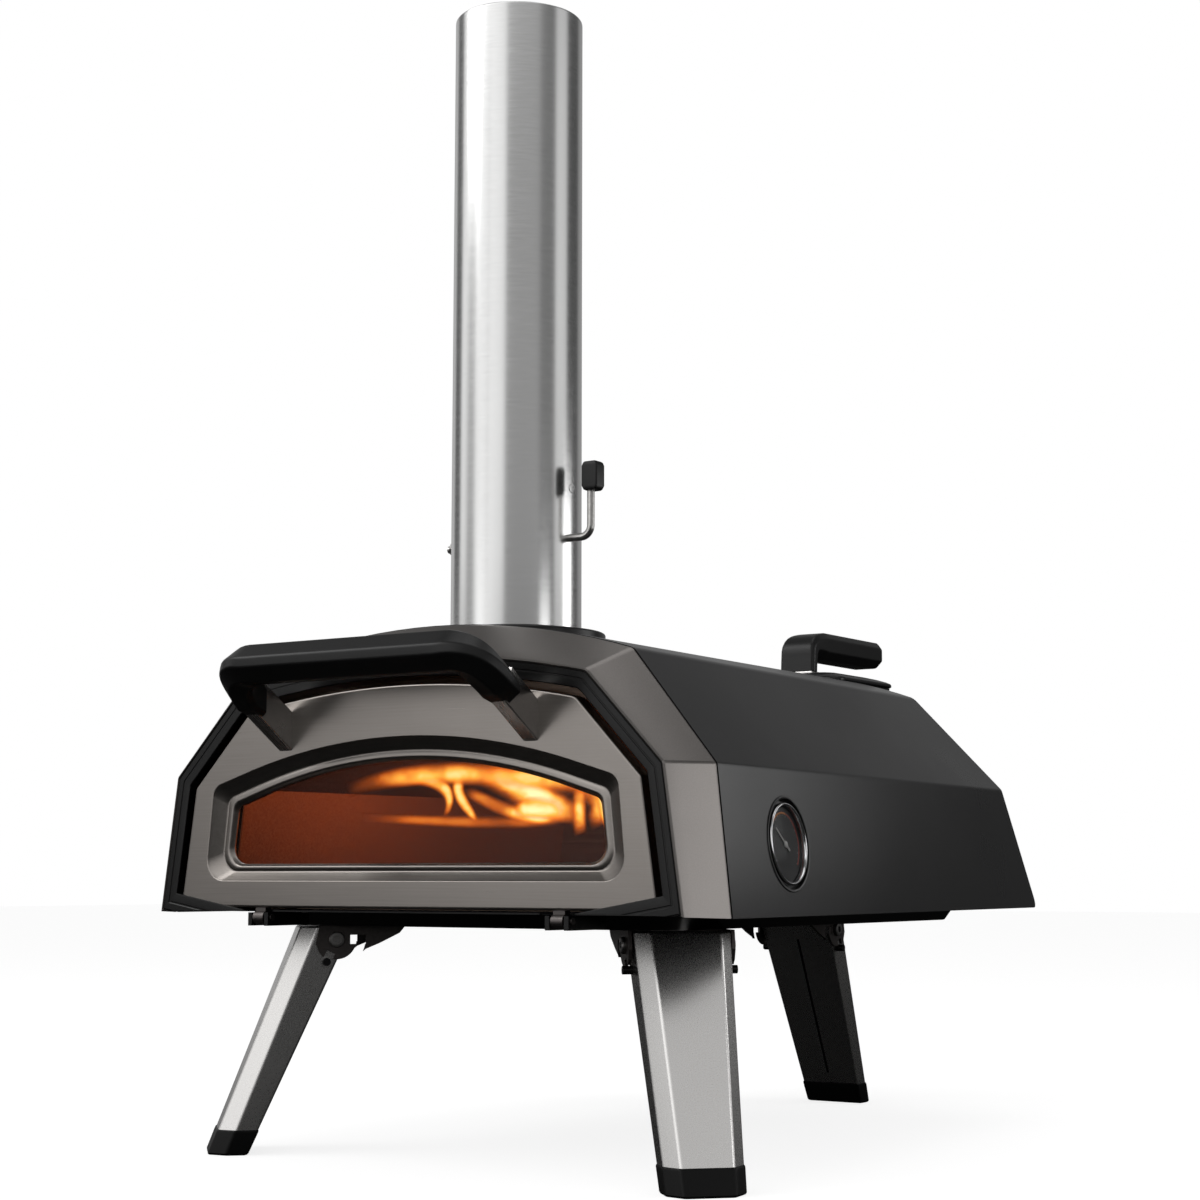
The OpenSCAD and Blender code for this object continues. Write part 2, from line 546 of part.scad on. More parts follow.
// The pivot frame of each leg: local x along the pivot, local y outward
module at_leg(which) {
  p = which == 0 ? [-leg_x, leg_y, pivot_z] : which == 1 ? [leg_x, leg_y, pivot_z] : [0, rear_leg_y, pivot_z];
  a = which == 0 ? heading : which == 1 ? -heading : 0;
  translate(p) rotate([0, 0, a]) children();
}
module from_z_to_z(z0, z1) intersection() {
  children();
  box([-400, -400, z0], [400, 900, z1]);
}
lock_r = 2.5;
lock_z = -15.3;           // rest height of the lock pin on the leg's axis
lock_travel = 4;
module leg(which) from_z_to_z(foot_h, pan_z - 1) at_leg(which) rotate([leg_lean, 0, 0]) difference() {
  leg_block(leg_top, -leg_len, 0);
  leg_block(leg_top + 1, -leg_len - 1, 1.5);
  // seam between the folded edges
  translate([-0.8, -inner_d - 1, -leg_len - 2]) cube([1.6, 3.2, leg_len + 10]);
  rod_x(pivot_r + 0.05, -50, 50, 0, 0);
  // slots for the lock pin
  for (s = [-1, 1]) translate([s * 27 - 6, 0, lock_z]) {
    rod_x(lock_r + 0.3, 0, 12, 0, 0);
    rod_x(lock_r + 0.3, 0, 12, 0, lock_travel);
    translate([0, -lock_r - 0.3, 0]) cube([12, 2 * lock_r + 0.6, lock_travel]);
  }
}
module foot(which) {
  from_z_to_z(0, foot_h) at_leg(which) rotate([leg_lean, 0, 0]) leg_block(-100, -leg_len, -0.6);
  // plug inside the leg
  from_z_to_z(foot_h - 1, foot_h + 14) at_leg(which) rotate([leg_lean, 0, 0]) leg_block(-100, -leg_len, 2.6);
}
ear_t = 2;
ear_in = leg_top_half + 0.8;
cam_r = 12.5;            // the lock pin rides round this edge while the leg folds
// One ear of a bracket, seen from the side: a round cam with a notch at each end and a long tail
module ear() difference() {
  rotate([90, 0, 90]) linear_extrude(ear_t)
    polygon([[-44, pan_z - pivot_z], [-40, 4], [-27, -2.5], [-18.5, -6], [-13, -10.5], [-6, -13.8],
             [5.5, -13.8], [11, -8], [13, -2], [11, pan_z - pivot_z]]);
  translate([-1, 0, 0]) rotate([90, 0, 90]) {
    rotate([0, 0, 180]) rotate_extrude(angle = 90 + leg_lean) translate([cam_r, 0]) square([5.8, ear_t + 2]);
    for (a = [180, leg_lean - 90]) rotate([0, 0, a])
      translate([-lock_z - lock_travel - lock_r - 0.3, -lock_r - 0.4, 0]) cube([10, 2 * lock_r + 0.8, ear_t + 2]);
  }
}
module leg_bracket(which) at_leg(which) difference() {
  union() {
    translate([ear_in, 0, 0]) ear();
    translate([-ear_in - ear_t, 0, 0]) ear();
    box([-ear_in - ear_t, -42, pan_z - pivot_z - 1.5], [ear_in + ear_t, -12, pan_z - pivot_z]);
  }
  rod_x(pivot_r, -60, 60, 0, 0);
}
module lock_pin(which) at_leg(which) rotate([leg_lean, 0, 0])
  rod_x(lock_r, -ear_in - ear_t - 2.5, ear_in + ear_t + 2.5, 0, lock_z);
module leg_front_left() color("#b9b5af") in_place() leg(0);
module leg_front_right() color("#b9b5af") in_place() leg(1);
module leg_rear() color("#b9b5af") in_place() leg(2);
module foot_front_left() color("#0e0e0e") in_place() foot(0);
module foot_front_right() color("#0e0e0e") in_place() foot(1);
module foot_rear() color("#0e0e0e") in_place() foot(2);
module leg_bracket_front_left() color("#3a3532") in_place() leg_bracket(0);
module leg_bracket_front_right() color("#3a3532") in_place() leg_bracket(1);
module leg_bracket_rear() color("#3a3532") in_place() leg_bracket(2);
module leg_lock_pin_front_left() color("#9a9a9a") in_place() lock_pin(0);
module leg_lock_pin_front_right() color("#9a9a9a") in_place() lock_pin(1);
module leg_lock_pin_rear() color("#9a9a9a") in_place() lock_pin(2);
module leg_pivot_bolts() color("#8a8a8a") in_place() for (i = [0:2]) at_leg(i) {
  rod_x(pivot_r, -ear_in - ear_t, ear_in + ear_t, 0, 0);
  both_sides() rod_x(5, ear_in + ear_t, ear_in + ear_t + 2.5, 0, 0);
}

outer_shell();
front_bezel();
front_frame();
front_wall();
base_plate();
base_pan();
rear_panel();
inner_liner();
insulation_blanket();
pizza_stone();
stone_rails();
flame_guard();
door_panel();
door_glass();
door_gasket();
door_back_frame();
door_frame_screws();
door_handle_bracket_left();
door_handle_bracket_right();
door_handle_grip();
door_handle_screws();
door_hinge_brackets();
door_hinge_pins();
door_hinge_screws();
flue_collar();
flue_seal_ring();
flue_tube();
damper_plate();
damper_rod();
damper_knob();
damper_nut();
thermometer_case();
thermometer_ring();
thermometer_dial();
thermometer_needle();
thermometer_lens();
fuel_box();
hatch_frame();
hatch_lid();
hatch_handle_grip();
hatch_handle_foot();
fuel_tray();
tray_face_plate();
fuel_grate();
tray_handle();
tray_handle_screws();
leg_front_left();
leg_front_right();
leg_rear();
foot_front_left();
foot_front_right();
foot_rear();
leg_bracket_front_left();
leg_bracket_front_right();
leg_bracket_rear();
leg_lock_pin_front_left();
leg_lock_pin_front_right();
leg_lock_pin_rear();
leg_pivot_bolts();
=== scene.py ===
"""Looks of the wood fired pizza oven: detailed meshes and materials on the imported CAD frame, with the camera and light.

Sizes are in millimetres in the oven's own frame: x to the thermometer's side, y back from the bezel's front edge,
z up from the ground. P() turns them into the row frame's metres."""

import math

import bmesh
import bpy
from mathutils import Matrix, Vector


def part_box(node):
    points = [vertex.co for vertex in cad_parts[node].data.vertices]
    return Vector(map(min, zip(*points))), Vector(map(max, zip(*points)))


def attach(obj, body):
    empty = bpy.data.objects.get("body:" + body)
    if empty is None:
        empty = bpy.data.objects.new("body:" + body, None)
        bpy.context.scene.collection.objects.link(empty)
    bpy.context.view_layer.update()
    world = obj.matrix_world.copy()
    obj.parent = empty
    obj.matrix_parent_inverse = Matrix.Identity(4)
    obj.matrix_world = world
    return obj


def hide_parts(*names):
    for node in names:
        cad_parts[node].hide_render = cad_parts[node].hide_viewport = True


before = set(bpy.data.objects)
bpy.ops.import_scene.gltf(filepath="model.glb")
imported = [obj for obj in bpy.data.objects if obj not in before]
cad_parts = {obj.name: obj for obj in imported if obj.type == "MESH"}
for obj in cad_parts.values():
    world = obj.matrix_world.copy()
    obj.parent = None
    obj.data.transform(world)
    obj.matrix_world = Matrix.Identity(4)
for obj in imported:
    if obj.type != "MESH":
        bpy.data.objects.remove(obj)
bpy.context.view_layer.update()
scene = bpy.context.scene
FRONT_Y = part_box("front_bezel")[0].y
MM = 0.001


def P(x, y, z):
    return Vector((x * MM, FRONT_Y + y * MM, z * MM))


# ---------------- camera
CAMERA_AT = P(820, -1019.5, 174.4)
CAMERA_PITCH, CAMERA_YAW = 0.1253, 0.582   # radians, up from level and round from straight ahead
camera_data = bpy.data.cameras.new("camera")
camera_data.sensor_width = 36
camera_data.lens = 66.3
camera_data.shift_x = -0.0115
camera_data.shift_y = -0.0024
camera = bpy.data.objects.new("camera", camera_data)
camera.location = CAMERA_AT
camera.rotation_euler = (math.pi / 2 + CAMERA_PITCH, 0, CAMERA_YAW)
scene.collection.objects.link(camera)
scene.camera = camera
scene.view_settings.view_transform = "Standard"


# ---------------- materials
GRAIN_GLOSS, BLOTCH_GLOSS, COAT_GLOSS = 0.12, 0.08, 0.14   # how far each pattern moves the roughness
BUMP_DEPTH = 0.0002   # metres


def shader(name, **sockets):
    """A material and its Principled shader, with the shader's sockets set."""
    mat = bpy.data.materials.new(name)
    mat.use_nodes = True
    bsdf = mat.node_tree.nodes["Principled BSDF"]
    for key, value in sockets.items():
        bsdf.inputs[key.replace("_", " ")].default_value = value
    return mat, bsdf


def node(mat, kind, **values):
    """Adds a node to a material or world. A value sets a property or a socket, and (node, output) links the socket.
    Sockets go by name, or by number as i0, i1, i2."""
    made = mat.node_tree.nodes.new(kind)
    for key, value in values.items():
        if hasattr(made, key):
            setattr(made, key, value)
            continue
        numbered = key[0] == "i" and key[1:].isdigit()
        socket = made.inputs[int(key[1:]) if numbered else key.replace("_", " ")]
        if isinstance(value, tuple) and isinstance(value[0], bpy.types.Node):
            mat.node_tree.links.new(value[0].outputs[value[1]], socket)
        else:
            socket.default_value = value
    return made


def link(mat, source, output, target, socket):
    mat.node_tree.links.new(source.outputs[output], target.inputs[socket])


def ramp(mat, source, output, stops):
    """A colour ramp over a value: stops are (position, grey or colour)."""
    made = node(mat, "ShaderNodeValToRGB", Fac=(source, output))
    elements = made.color_ramp.elements
    while len(elements) < len(stops):
        elements.new(0.5)
    for element, (position, colour) in zip(elements, stops):
        element.position = position
        if not isinstance(colour, tuple):
            colour = (colour, colour, colour)
        element.color = (*colour[:3], 1)
    return made


def stretched_noise(mat, scale, stretch, detail=2.0):
    """Noise in object space, stretched by a factor along each axis."""
    coords = node(mat, "ShaderNodeTexCoord")
    mapping = node(mat, "ShaderNodeMapping", Vector=(coords, "Object"), Scale=stretch)
    return node(mat, "ShaderNodeTexNoise", Vector=(mapping, "Vector"), Scale=scale, Detail=detail)


def add_bump(mat, bsdf, source, output, strength):
    bump = node(mat, "ShaderNodeBump", Strength=strength, Distance=BUMP_DEPTH, Height=(source, output))
    link(mat, bump, "Normal", bsdf, "Normal")


def brushed(name, colour, roughness, along, scale=600.0, contrast=0.25, bump=0.12):
    """Brushed metal. along stretches the noise: the grain runs along the axis with the smallest number."""
    mat, bsdf = shader(name, Base_Color=(*colour, 1), Metallic=1.0, Roughness=roughness)
    grain = stretched_noise(mat, scale, along, 3.0)
    blotch = stretched_noise(mat, 14.0, (1, 1, 1), 4.0)
    dark = tuple(c * (1 - contrast) for c in colour)
    tone = ramp(mat, grain, "Fac", [(0.3, dark), (0.7, colour)])
    link(mat, tone, "Color", bsdf, "Base Color")
    mix = node(mat, "ShaderNodeMath", operation="MULTIPLY_ADD", i0=(grain, "Fac"), i1=GRAIN_GLOSS,
               i2=roughness - GRAIN_GLOSS / 2)
    worn = node(mat, "ShaderNodeMath", operation="MULTIPLY_ADD", i0=(blotch, "Fac"), i1=BLOTCH_GLOSS, i2=(mix, 0))
    link(mat, worn, 0, bsdf, "Roughness")
    add_bump(mat, bsdf, grain, "Fac", bump)
    return mat


def coated(name, colour, roughness, grain=1400.0, bump=0.1, specular=0.5, vary=0.25):
    """Powder-coated or moulded surface: a fine pebble with slow changes in gloss."""
    mat, bsdf = shader(name, Base_Color=(*colour, 1), Roughness=roughness, Specular_IOR_Level=specular)
    pebble = stretched_noise(mat, grain, (1, 1, 1), 2.0)
    slow = stretched_noise(mat, 9.0, (1, 1, 1), 5.0)
    lighter = tuple(c * (1 + vary) for c in colour)
    tone = ramp(mat, slow, "Fac", [(0.35, colour), (0.7, lighter)])
    link(mat, tone, "Color", bsdf, "Base Color")
    gloss = node(mat, "ShaderNodeMath", operation="MULTIPLY_ADD", i0=(slow, "Fac"), i1=COAT_GLOSS,
                 i2=roughness - COAT_GLOSS / 2)
    link(mat, gloss, 0, bsdf, "Roughness")
    add_bump(mat, bsdf, pebble, "Fac", bump)
    return mat


ACROSS = (0.02, 1, 1)   # grain along x
shell_black = coated("shell_black", (0.006, 0.006, 0.0065), 0.3, vary=0.15, specular=0.35)
frame_black = coated("frame_black", (0.003, 0.0028, 0.0028), 0.32, specular=0.35)
grip_black = coated("grip_black", (0.005, 0.005, 0.0052), 0.4, grain=900.0, bump=0.1, specular=0.4)
foot_black = coated("foot_black", (0.0025, 0.0025, 0.0025), 0.45, grain=700.0, bump=0.15, specular=0.2)
dial_black = coated("dial_black", (0.004, 0.004, 0.0045), 0.5)
steel = brushed("steel", (0.66, 0.65, 0.63), 0.26, ACROSS)
tube_steel = brushed("tube_steel", (0.8, 0.8, 0.795), 0.18, (1, 1, 14), scale=90.0, contrast=0.06, bump=0.02)
leg_steel = brushed("leg_steel", (0.8, 0.785, 0.77), 0.24, (1, 1, 0.5), scale=2600.0, contrast=0.06, bump=0.012)
dark_steel = brushed("dark_steel", (0.16, 0.145, 0.14), 0.4, ACROSS)
bolt_steel = brushed("bolt_steel", (0.42, 0.41, 0.40), 0.34, (1, 1, 1))
chrome = brushed("chrome_ring", (0.86, 0.86, 0.87), 0.12, (1, 1, 1), contrast=0.04, bump=0.02)
arm_steel = brushed("arm_steel", (0.82, 0.8, 0.78), 0.22, (1, 0.05, 0.05), bump=0.04)
tray_steel = brushed("tray_steel", (0.3, 0.28, 0.26), 0.42, ACROSS)
liner_steel = brushed("liner_steel", (0.34, 0.26, 0.21), 0.45, ACROSS, contrast=0.35)
bezel_metal = brushed("bezel_metal", (0.27, 0.252, 0.24), 0.3, (1, 1, 1), scale=1500.0, contrast=0.12, bump=0.05)
door_metal = brushed("door_metal", (0.31, 0.285, 0.265), 0.27, ACROSS, scale=900.0, contrast=0.1, bump=0.04)
stone_mat = coated("stone", (0.42, 0.33, 0.22), 0.9, grain=260.0, bump=0.5, vary=0.3)
fibre = coated("fibre", (0.62, 0.58, 0.5), 0.95, grain=500.0, bump=0.8)
gasket = coated("gasket", (0.02, 0.02, 0.02), 0.8, grain=900.0, bump=0.5)
needle_grey = coated("needle_grey", (0.6, 0.6, 0.58), 0.4, bump=0.02)
tick_white = coated("tick_white", (0.35, 0.33, 0.31), 0.5, bump=0.02)
arc_orange = coated("arc_orange", (0.55, 0.17, 0.015), 0.5, bump=0.02)
arc_red = coated("arc_red", (0.28, 0.03, 0.015), 0.5, bump=0.02)


def glassy(name, colour, alpha, roughness):
    """Thin glass with faint smears."""
    mat, bsdf = shader(name, Base_Color=(*colour, 1), Roughness=roughness, Alpha=alpha, IOR=1.5,
                       Specular_IOR_Level=0.15)
    smear = stretched_noise(mat, 22.0, (1, 1, 2), 4.0)
    haze = node(mat, "ShaderNodeMath", operation="MULTIPLY_ADD", i0=(smear, "Fac"), i1=0.06, i2=roughness)
    link(mat, haze, 0, bsdf, "Roughness")
    tone = ramp(mat, smear, "Fac", [(0.3, colour), (0.8, tuple(c * 1.15 for c in colour))])
    link(mat, tone, "Color", bsdf, "Base Color")
    return mat


door_glass = glassy("door_glass", (0.02, 0.008, 0.005), 0.35, 0.03)
lens_clear = glassy("lens", (0.02, 0.02, 0.02), 0.12, 0.02)


# ---------------- mesh building
def outward_faces(mesh, weld=False):
    """Turns the faces outward. weld first merges points that coincide."""
    work = bmesh.new()
    work.from_mesh(mesh)
    if weld:
        bmesh.ops.remove_doubles(work, verts=work.verts, dist=1e-6)
    bmesh.ops.recalc_face_normals(work, faces=work.faces)
    work.to_mesh(mesh)
    work.free()


def make(name, verts, faces, body, material, slot, replaces=(), bevel=0.0, angle=28, weight=True):
    """A mesh piece in the row frame. bevel is in millimetres; edges sharper than angle are bevelled and kept crisp."""
    mesh = bpy.data.meshes.new(name)
    mesh.from_pydata([tuple(v) for v in verts], [], faces)
    obj = bpy.data.objects.new(name, mesh)
    scene.collection.objects.link(obj)
    outward_faces(mesh, weld=True)
    if bevel:
        mod = obj.modifiers.new("edge", "BEVEL")
        mod.width = bevel * MM
        mod.segments = 2
        mod.limit_method = "ANGLE"
        mod.angle_limit = math.radians(angle)
        mod.harden_normals = False
        bake(obj)
    crisp(obj, angle, weight)
    obj.data.materials.clear()
    obj.data.materials.append(material)
    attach(obj, body)
    if replaces:
        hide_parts(*replaces)
    return obj


def bake(obj):
    """Applies the modifiers."""
    bpy.context.view_layer.update()
    graph = bpy.context.evaluated_depsgraph_get()
    baked = bpy.data.meshes.new_from_object(obj.evaluated_get(graph))
    obj.modifiers.clear()
    obj.data = baked


def crisp(obj, angle, weight=True):
    """Smooth shading with sharp edges. weight keeps big flat faces flat beside small rounded ones."""
    obj.data.shade_smooth()
    obj.data.set_sharp_from_angle(angle=math.radians(angle))
    if weight:
        mod = obj.modifiers.new("shading", "WEIGHTED_NORMAL")
        mod.keep_sharp = True


def grid(rows, close_rows=False, close_points=False, cap_ends=False, cap_sides=False):
    """Quads between rows of equal length. Caps close the first and last row, or the first and last point of each."""
    n, m = len(rows), len(rows[0])
    verts = [p for row in rows for p in row]
    faces = []
    for i in range(n if close_rows else n - 1):
        for j in range(m if close_points else m - 1):
            a, b = (i + 1) % n, (j + 1) % m
            faces.append((i * m + j, i * m + b, a * m + b, a * m + j))
    if cap_ends:
        faces.append(tuple(range(m)))
        faces.append(tuple((n - 1) * m + j for j in range(m)))
    if cap_sides:
        faces.append(tuple(i * m for i in range(n)))
        faces.append(tuple(i * m + m - 1 for i in range(n)))
    return verts, faces


def lofted(rows):
    """A solid through closed loops of the same length, with its two ends closed."""
    return grid(rows, close_points=True, cap_ends=True)


def plate_ring(rows):
    """A solid ring: each row is a closed loop of the same length and the last joins the first."""
    return grid(rows, close_rows=True, close_points=True)


def join(*parts):
    """One mesh out of several."""
    verts, faces = [], []
    for v, f in parts:
        faces += [tuple(i + len(verts) for i in face) for face in f]
        verts += list(v)
    return verts, faces


def unit2(v):
    length = math.hypot(*v)
    return (v[0] / length, v[1] / length)


def inset(line, d):
    """Moves each side of a closed anticlockwise polygon inward by d."""
    out = []
    for i, b in enumerate(line):
        a, c = line[i - 1], line[(i + 1) % len(line)]
        u, v = unit2((b[0] - a[0], b[1] - a[1])), unit2((c[0] - b[0], c[1] - b[1]))
        n, m = (-u[1], u[0]), (-v[1], v[0])
        k = d / (1 + n[0] * m[0] + n[1] * m[1])
        out.append((b[0] + k * (n[0] + m[0]), b[1] + k * (n[1] + m[1])))
    return out


ARCH_STEPS = 20


def outline(wb, zb, wc, zc, ws, zs, za):
    """Front view of the body: half widths and heights at the bottom, crease and shoulder, and the arch's top."""
    r = (ws * ws + (za - zs) ** 2) / (2 * (za - zs))
    top = math.asin(ws / r)
    arch = []
    for i in range(ARCH_STEPS + 1):
        t = top * (1 - 2 * i / ARCH_STEPS)
        arch.append((r * math.sin(t), za - r + r * math.cos(t)))
    return [(wb, zb), (wc, zc)] + arch + [(-wc, zc), (-wb, zb)]


def rounded(line, bottom, crease, shoulder, steps=5):
    """The outline with its six corners rounded to these radii."""
    n = len(line)
    radii = {0: bottom, 1: crease, 2: shoulder, n - 3: shoulder, n - 2: crease, n - 1: bottom}
    out = []
    for i, b in enumerate(line):
        r = radii.get(i, 0)
        if not r:
            out.append(b)
            continue
        a, c = line[i - 1], line[(i + 1) % n]
        u, v = unit2((a[0] - b[0], a[1] - b[1])), unit2((c[0] - b[0], c[1] - b[1]))
        half = math.acos(max(-1, min(1, u[0] * v[0] + u[1] * v[1]))) / 2
        t = r / math.tan(half)
        mid = unit2((u[0] + v[0], u[1] + v[1]))
        centre = (b[0] + mid[0] * r / math.sin(half), b[1] + mid[1] * r / math.sin(half))
        p, q = (b[0] + u[0] * t, b[1] + u[1] * t), (b[0] + v[0] * t, b[1] + v[1] * t)
        a0 = math.atan2(p[1] - centre[1], p[0] - centre[0])
        a1 = math.atan2(q[1] - centre[1], q[0] - centre[0])
        turn = (a1 - a0 + math.pi) % (2 * math.pi) - math.pi
        for k in range(steps + 1):
            s = a0 + turn * k / steps
            out.append((centre[0] + r * math.cos(s), centre[1] + r * math.sin(s)))
    return out


def blend_lines(p, q, t):
    """The outline a share t of the way from p to q."""
    return [(a[0] * (1 - t) + b[0] * t, a[1] * (1 - t) + b[1] * t) for a, b in zip(p, q)]


def row(line, y):
    """An outline's points at a depth."""
    return [P(x, y, z) for x, z in line]


def tube(path, radius, sides):
    """A round bar along points, closed at both ends. The radius is in millimetres."""
    rows = []
    normal = None
    for i, p in enumerate(path):
        ahead = path[min(i + 1, len(path) - 1)] - path[max(i - 1, 0)]
        axis = ahead.normalized()
        if normal is None:
            normal = axis.orthogonal().normalized()
        normal = (normal - axis * normal.dot(axis)).normalized()
        side = axis.cross(normal)
        turns = [2 * math.pi * k / sides for k in range(sides)]
        rows.append([p + (normal * math.cos(a) + side * math.sin(a)) * radius * MM for a in turns])
    return lofted(rows)


def turned(profile, origin, axis, sides=96):
    """A ring or disc turned about an axis. profile is [(radius, height)] in millimetres."""
    axis = axis.normalized()
    across = axis.orthogonal().normalized()
    up = axis.cross(across)
    rows = []
    for k in range(sides):
        a = 2 * math.pi * k / sides
        out = across * math.cos(a) + up * math.sin(a)
        rows.append([origin + out * r * MM + axis * h * MM for r, h in profile])
    return plate_ring(rows)


def cuboid(low, high):
    """A box between two corners, in millimetres."""
    x0, y0, z0 = low
    x1, y1, z1 = high
    v = [P(x, y, z) for z in (z0, z1) for x, y in ((x0, y0), (x1, y0), (x1, y1), (x0, y1))]
    f = [(0, 3, 2, 1), (4, 5, 6, 7), (0, 1, 5, 4), (1, 2, 6, 5), (2, 3, 7, 6), (3, 0, 4, 7)]
    return v, f


def cut(obj, verts, faces):
    """Takes a closed shape out of a piece."""
    mesh = bpy.data.meshes.new("cutter")
    mesh.from_pydata([tuple(v) for v in verts], [], faces)
    tool = bpy.data.objects.new("cutter", mesh)
    scene.collection.objects.link(tool)
    outward_faces(mesh)
    obj.modifiers.clear()
    mod = obj.modifiers.new("cut", "BOOLEAN")
    mod.operation = "DIFFERENCE"
    mod.solver = "EXACT"
    mod.object = tool
    bake(obj)
    bpy.data.objects.remove(tool)


# ---------------- the oven's outlines
BODY_W, CREASE_W, SHOULDER_W = 207.5, 198.3, 143.8      # half widths
BODY_Z, CREASE_Z, SHOULDER_Z, APEX_Z = 151, 236, 303, 324
BODY_L, REAR_HALF, BEZEL_D, SHEET = 528, 175.5, 28.7, 1.2
REAR_LEAN = math.radians(28)
body_line = outline(BODY_W, BODY_Z, CREASE_W, CREASE_Z, SHOULDER_W, SHOULDER_Z, APEX_Z)
front_line = outline(193.2, 152, 181.3, 236, 130.5, 289, 302.5)


def with_bottom(line, z):
    """The line with its bottom edge moved along the side walls to a new height."""
    (x0, z0), (x1, z1) = line[0], line[1]
    x = x0 + (x0 - x1) / (z0 - z1) * (z - z0)
    return [(x, z)] + list(line[1:-1]) + [(-x, z)]


def taper(y):
    """How far each side has come in at a depth."""
    return (BODY_W - REAR_HALF) * (y - BEZEL_D) / (BODY_L - BEZEL_D)


def narrowed(line, d, w):
    """The line with its sides moved in by d, and less inside half width w."""
    return [(x - math.copysign(d * min(1, abs(x) / w), x), z) for x, z in line]


def rear_y(z):
    """Where the leaning rear end is at a height, its bottom corner rounded."""
    h, r = z - BODY_Z, 7
    corner = r - math.sqrt(max(0, r * r - (r - h) ** 2)) if h < r else 0
    return BODY_L - h * math.tan(REAR_LEAN) - corner * 0.8


def with_steps(line, heights):
    """Adds points at these heights to both side walls."""
    (x0, z0), (x1, z1) = line[0], line[1]
    extra = [(x0 + (x1 - x0) * (z - z0) / (z1 - z0), z) for z in heights]
    return [line[0]] + extra + list(line[1:-1]) + [(-x, z) for x, z in reversed(extra)] + [line[-1]]


# ---------------- outer shell
SHELL_START, SHELL_SPANS = BEZEL_D + 0.5, 24
LOW_STEPS = (151.4, 151.9, 152.6, 153.6, 155, 157, 160, 175, 200, 220)


def shell_rows(d):
    """The shell's rows from front to rear, a distance d inside its outer face."""
    base = rounded(body_line, 0, 5, 9, steps=6)
    w = SHOULDER_W
    if d:
        base = rounded(with_bottom(inset(body_line, d), BODY_Z), 0, 4, 8, steps=6)
        w = SHOULDER_W - d
    base = with_steps(base, LOW_STEPS)
    rows = []
    for i in range(SHELL_SPANS + 1):
        t = i / SHELL_SPANS
        ring = []
        for x, z in base:
            y = SHELL_START + (rear_y(z) - SHELL_START) * t
            nx, nz = narrowed([(x, z)], taper(y), w)[0]
            ring.append(P(nx, y, nz))
        rows.append(ring)
    return rows


def double_skin(outer, inner):
    """A sheet-metal skin between an outer and an inner set of rows, closed along all its edges."""
    n, m = len(outer), len(outer[0])
    verts = [p for r in outer for p in r] + [p for r in inner for p in r]
    off = n * m
    faces = []
    for i in range(n - 1):
        for j in range(m - 1):
            a, b, c, d = i * m + j, i * m + j + 1, (i + 1) * m + j + 1, (i + 1) * m + j
            faces.append((a, b, c, d))
            faces.append((off + d, off + c, off + b, off + a))
    for i in range(n - 1):
        for j in (0, m - 1):
            a, b = i * m + j, (i + 1) * m + j
            faces.append((a, b, off + b, off + a))
    for j in range(m - 1):
        for i in (0, n - 1):
            a, b = i * m + j, i * m + j + 1
            faces.append((a, b, off + b, off + a))
    return verts, faces


GAUGE_Y, GAUGE_Z = 110, 192.5
wall_lean = math.atan((BODY_W - CREASE_W) / (CREASE_Z - BODY_Z))
wall_turn = math.atan((BODY_W - REAR_HALF) / (BODY_L - BEZEL_D))
gauge_x = BODY_W - (GAUGE_Z - BODY_Z) * math.tan(wall_lean) - taper(GAUGE_Y)
gauge_at = P(gauge_x, GAUGE_Y, GAUGE_Z)
gauge_turn = (Matrix.Rotation(wall_turn, 3, "Z") @ Matrix.Rotation(math.pi / 2 - wall_lean, 3, "Y")
              @ Matrix.Rotation(math.pi / 2, 3, "Z"))
gauge_out = gauge_turn @ Vector((0, 0, 1))
GAUGE_HOLE_R, COLLAR_R, FLUE_Y, FLUE_R = 27.05, 57, 113.5, 41.6
flue_at = P(0, FLUE_Y, 0)
UP = Vector((0, 0, 1))

shell = make("shell_skin", *double_skin(shell_rows(0), shell_rows(SHEET)), "body", shell_black, "shell_black",
             ["outer_shell"], angle=35, weight=False)
cut(shell, *turned([(0.001, 290), (COLLAR_R - 3, 290), (COLLAR_R - 3, 350), (0.001, 350)], flue_at, UP, 64))
cut(shell, *turned([(0.001, -12), (GAUGE_HOLE_R, -12), (GAUGE_HOLE_R, 12), (0.001, 12)], gauge_at, gauge_out, 64))
crisp(shell, 35, False)

# ---------------- bezel and the frame round the door
# round the flare's section: distance inside its face, share of the way to the shell, y (None: as far back as the share)
BEZEL_SECTION = ((1.5, 0, 0.9), (1.1, 0, 0.25), (0.55, 0, 0.02), (0.1, 0, 0.5), (0, 0.04, None), (0, 0.25, None),
                 (0, 0.5, None), (0, 0.75, None), (0, 0.955, None), (0.12, 0.98, None), (0.45, 0.994, None),
                 (1.0, 1, None), (1.5, 1, None), (1.5, 0.5, None), (1.5, 0.04, None))
bezel_rows = []
for inset_by, t, forward in BEZEL_SECTION:
    line = blend_lines(front_line, body_line, t)
    line = rounded(inset(line, inset_by) if inset_by else line, 0.1, 4, 7, steps=5)
    low = BODY_Z + 1 - t
    line = [(x, max(z, low)) for x, z in line]
    bezel_rows.append(row(line, forward if forward is not None else BEZEL_D * t))
make("bezel", *grid(bezel_rows, close_rows=True, cap_sides=True), "body", bezel_metal, "bezel_metal",
     ["front_bezel"], angle=40)

FRAME_EDGE, FRAME_W = 1.6, 11.5
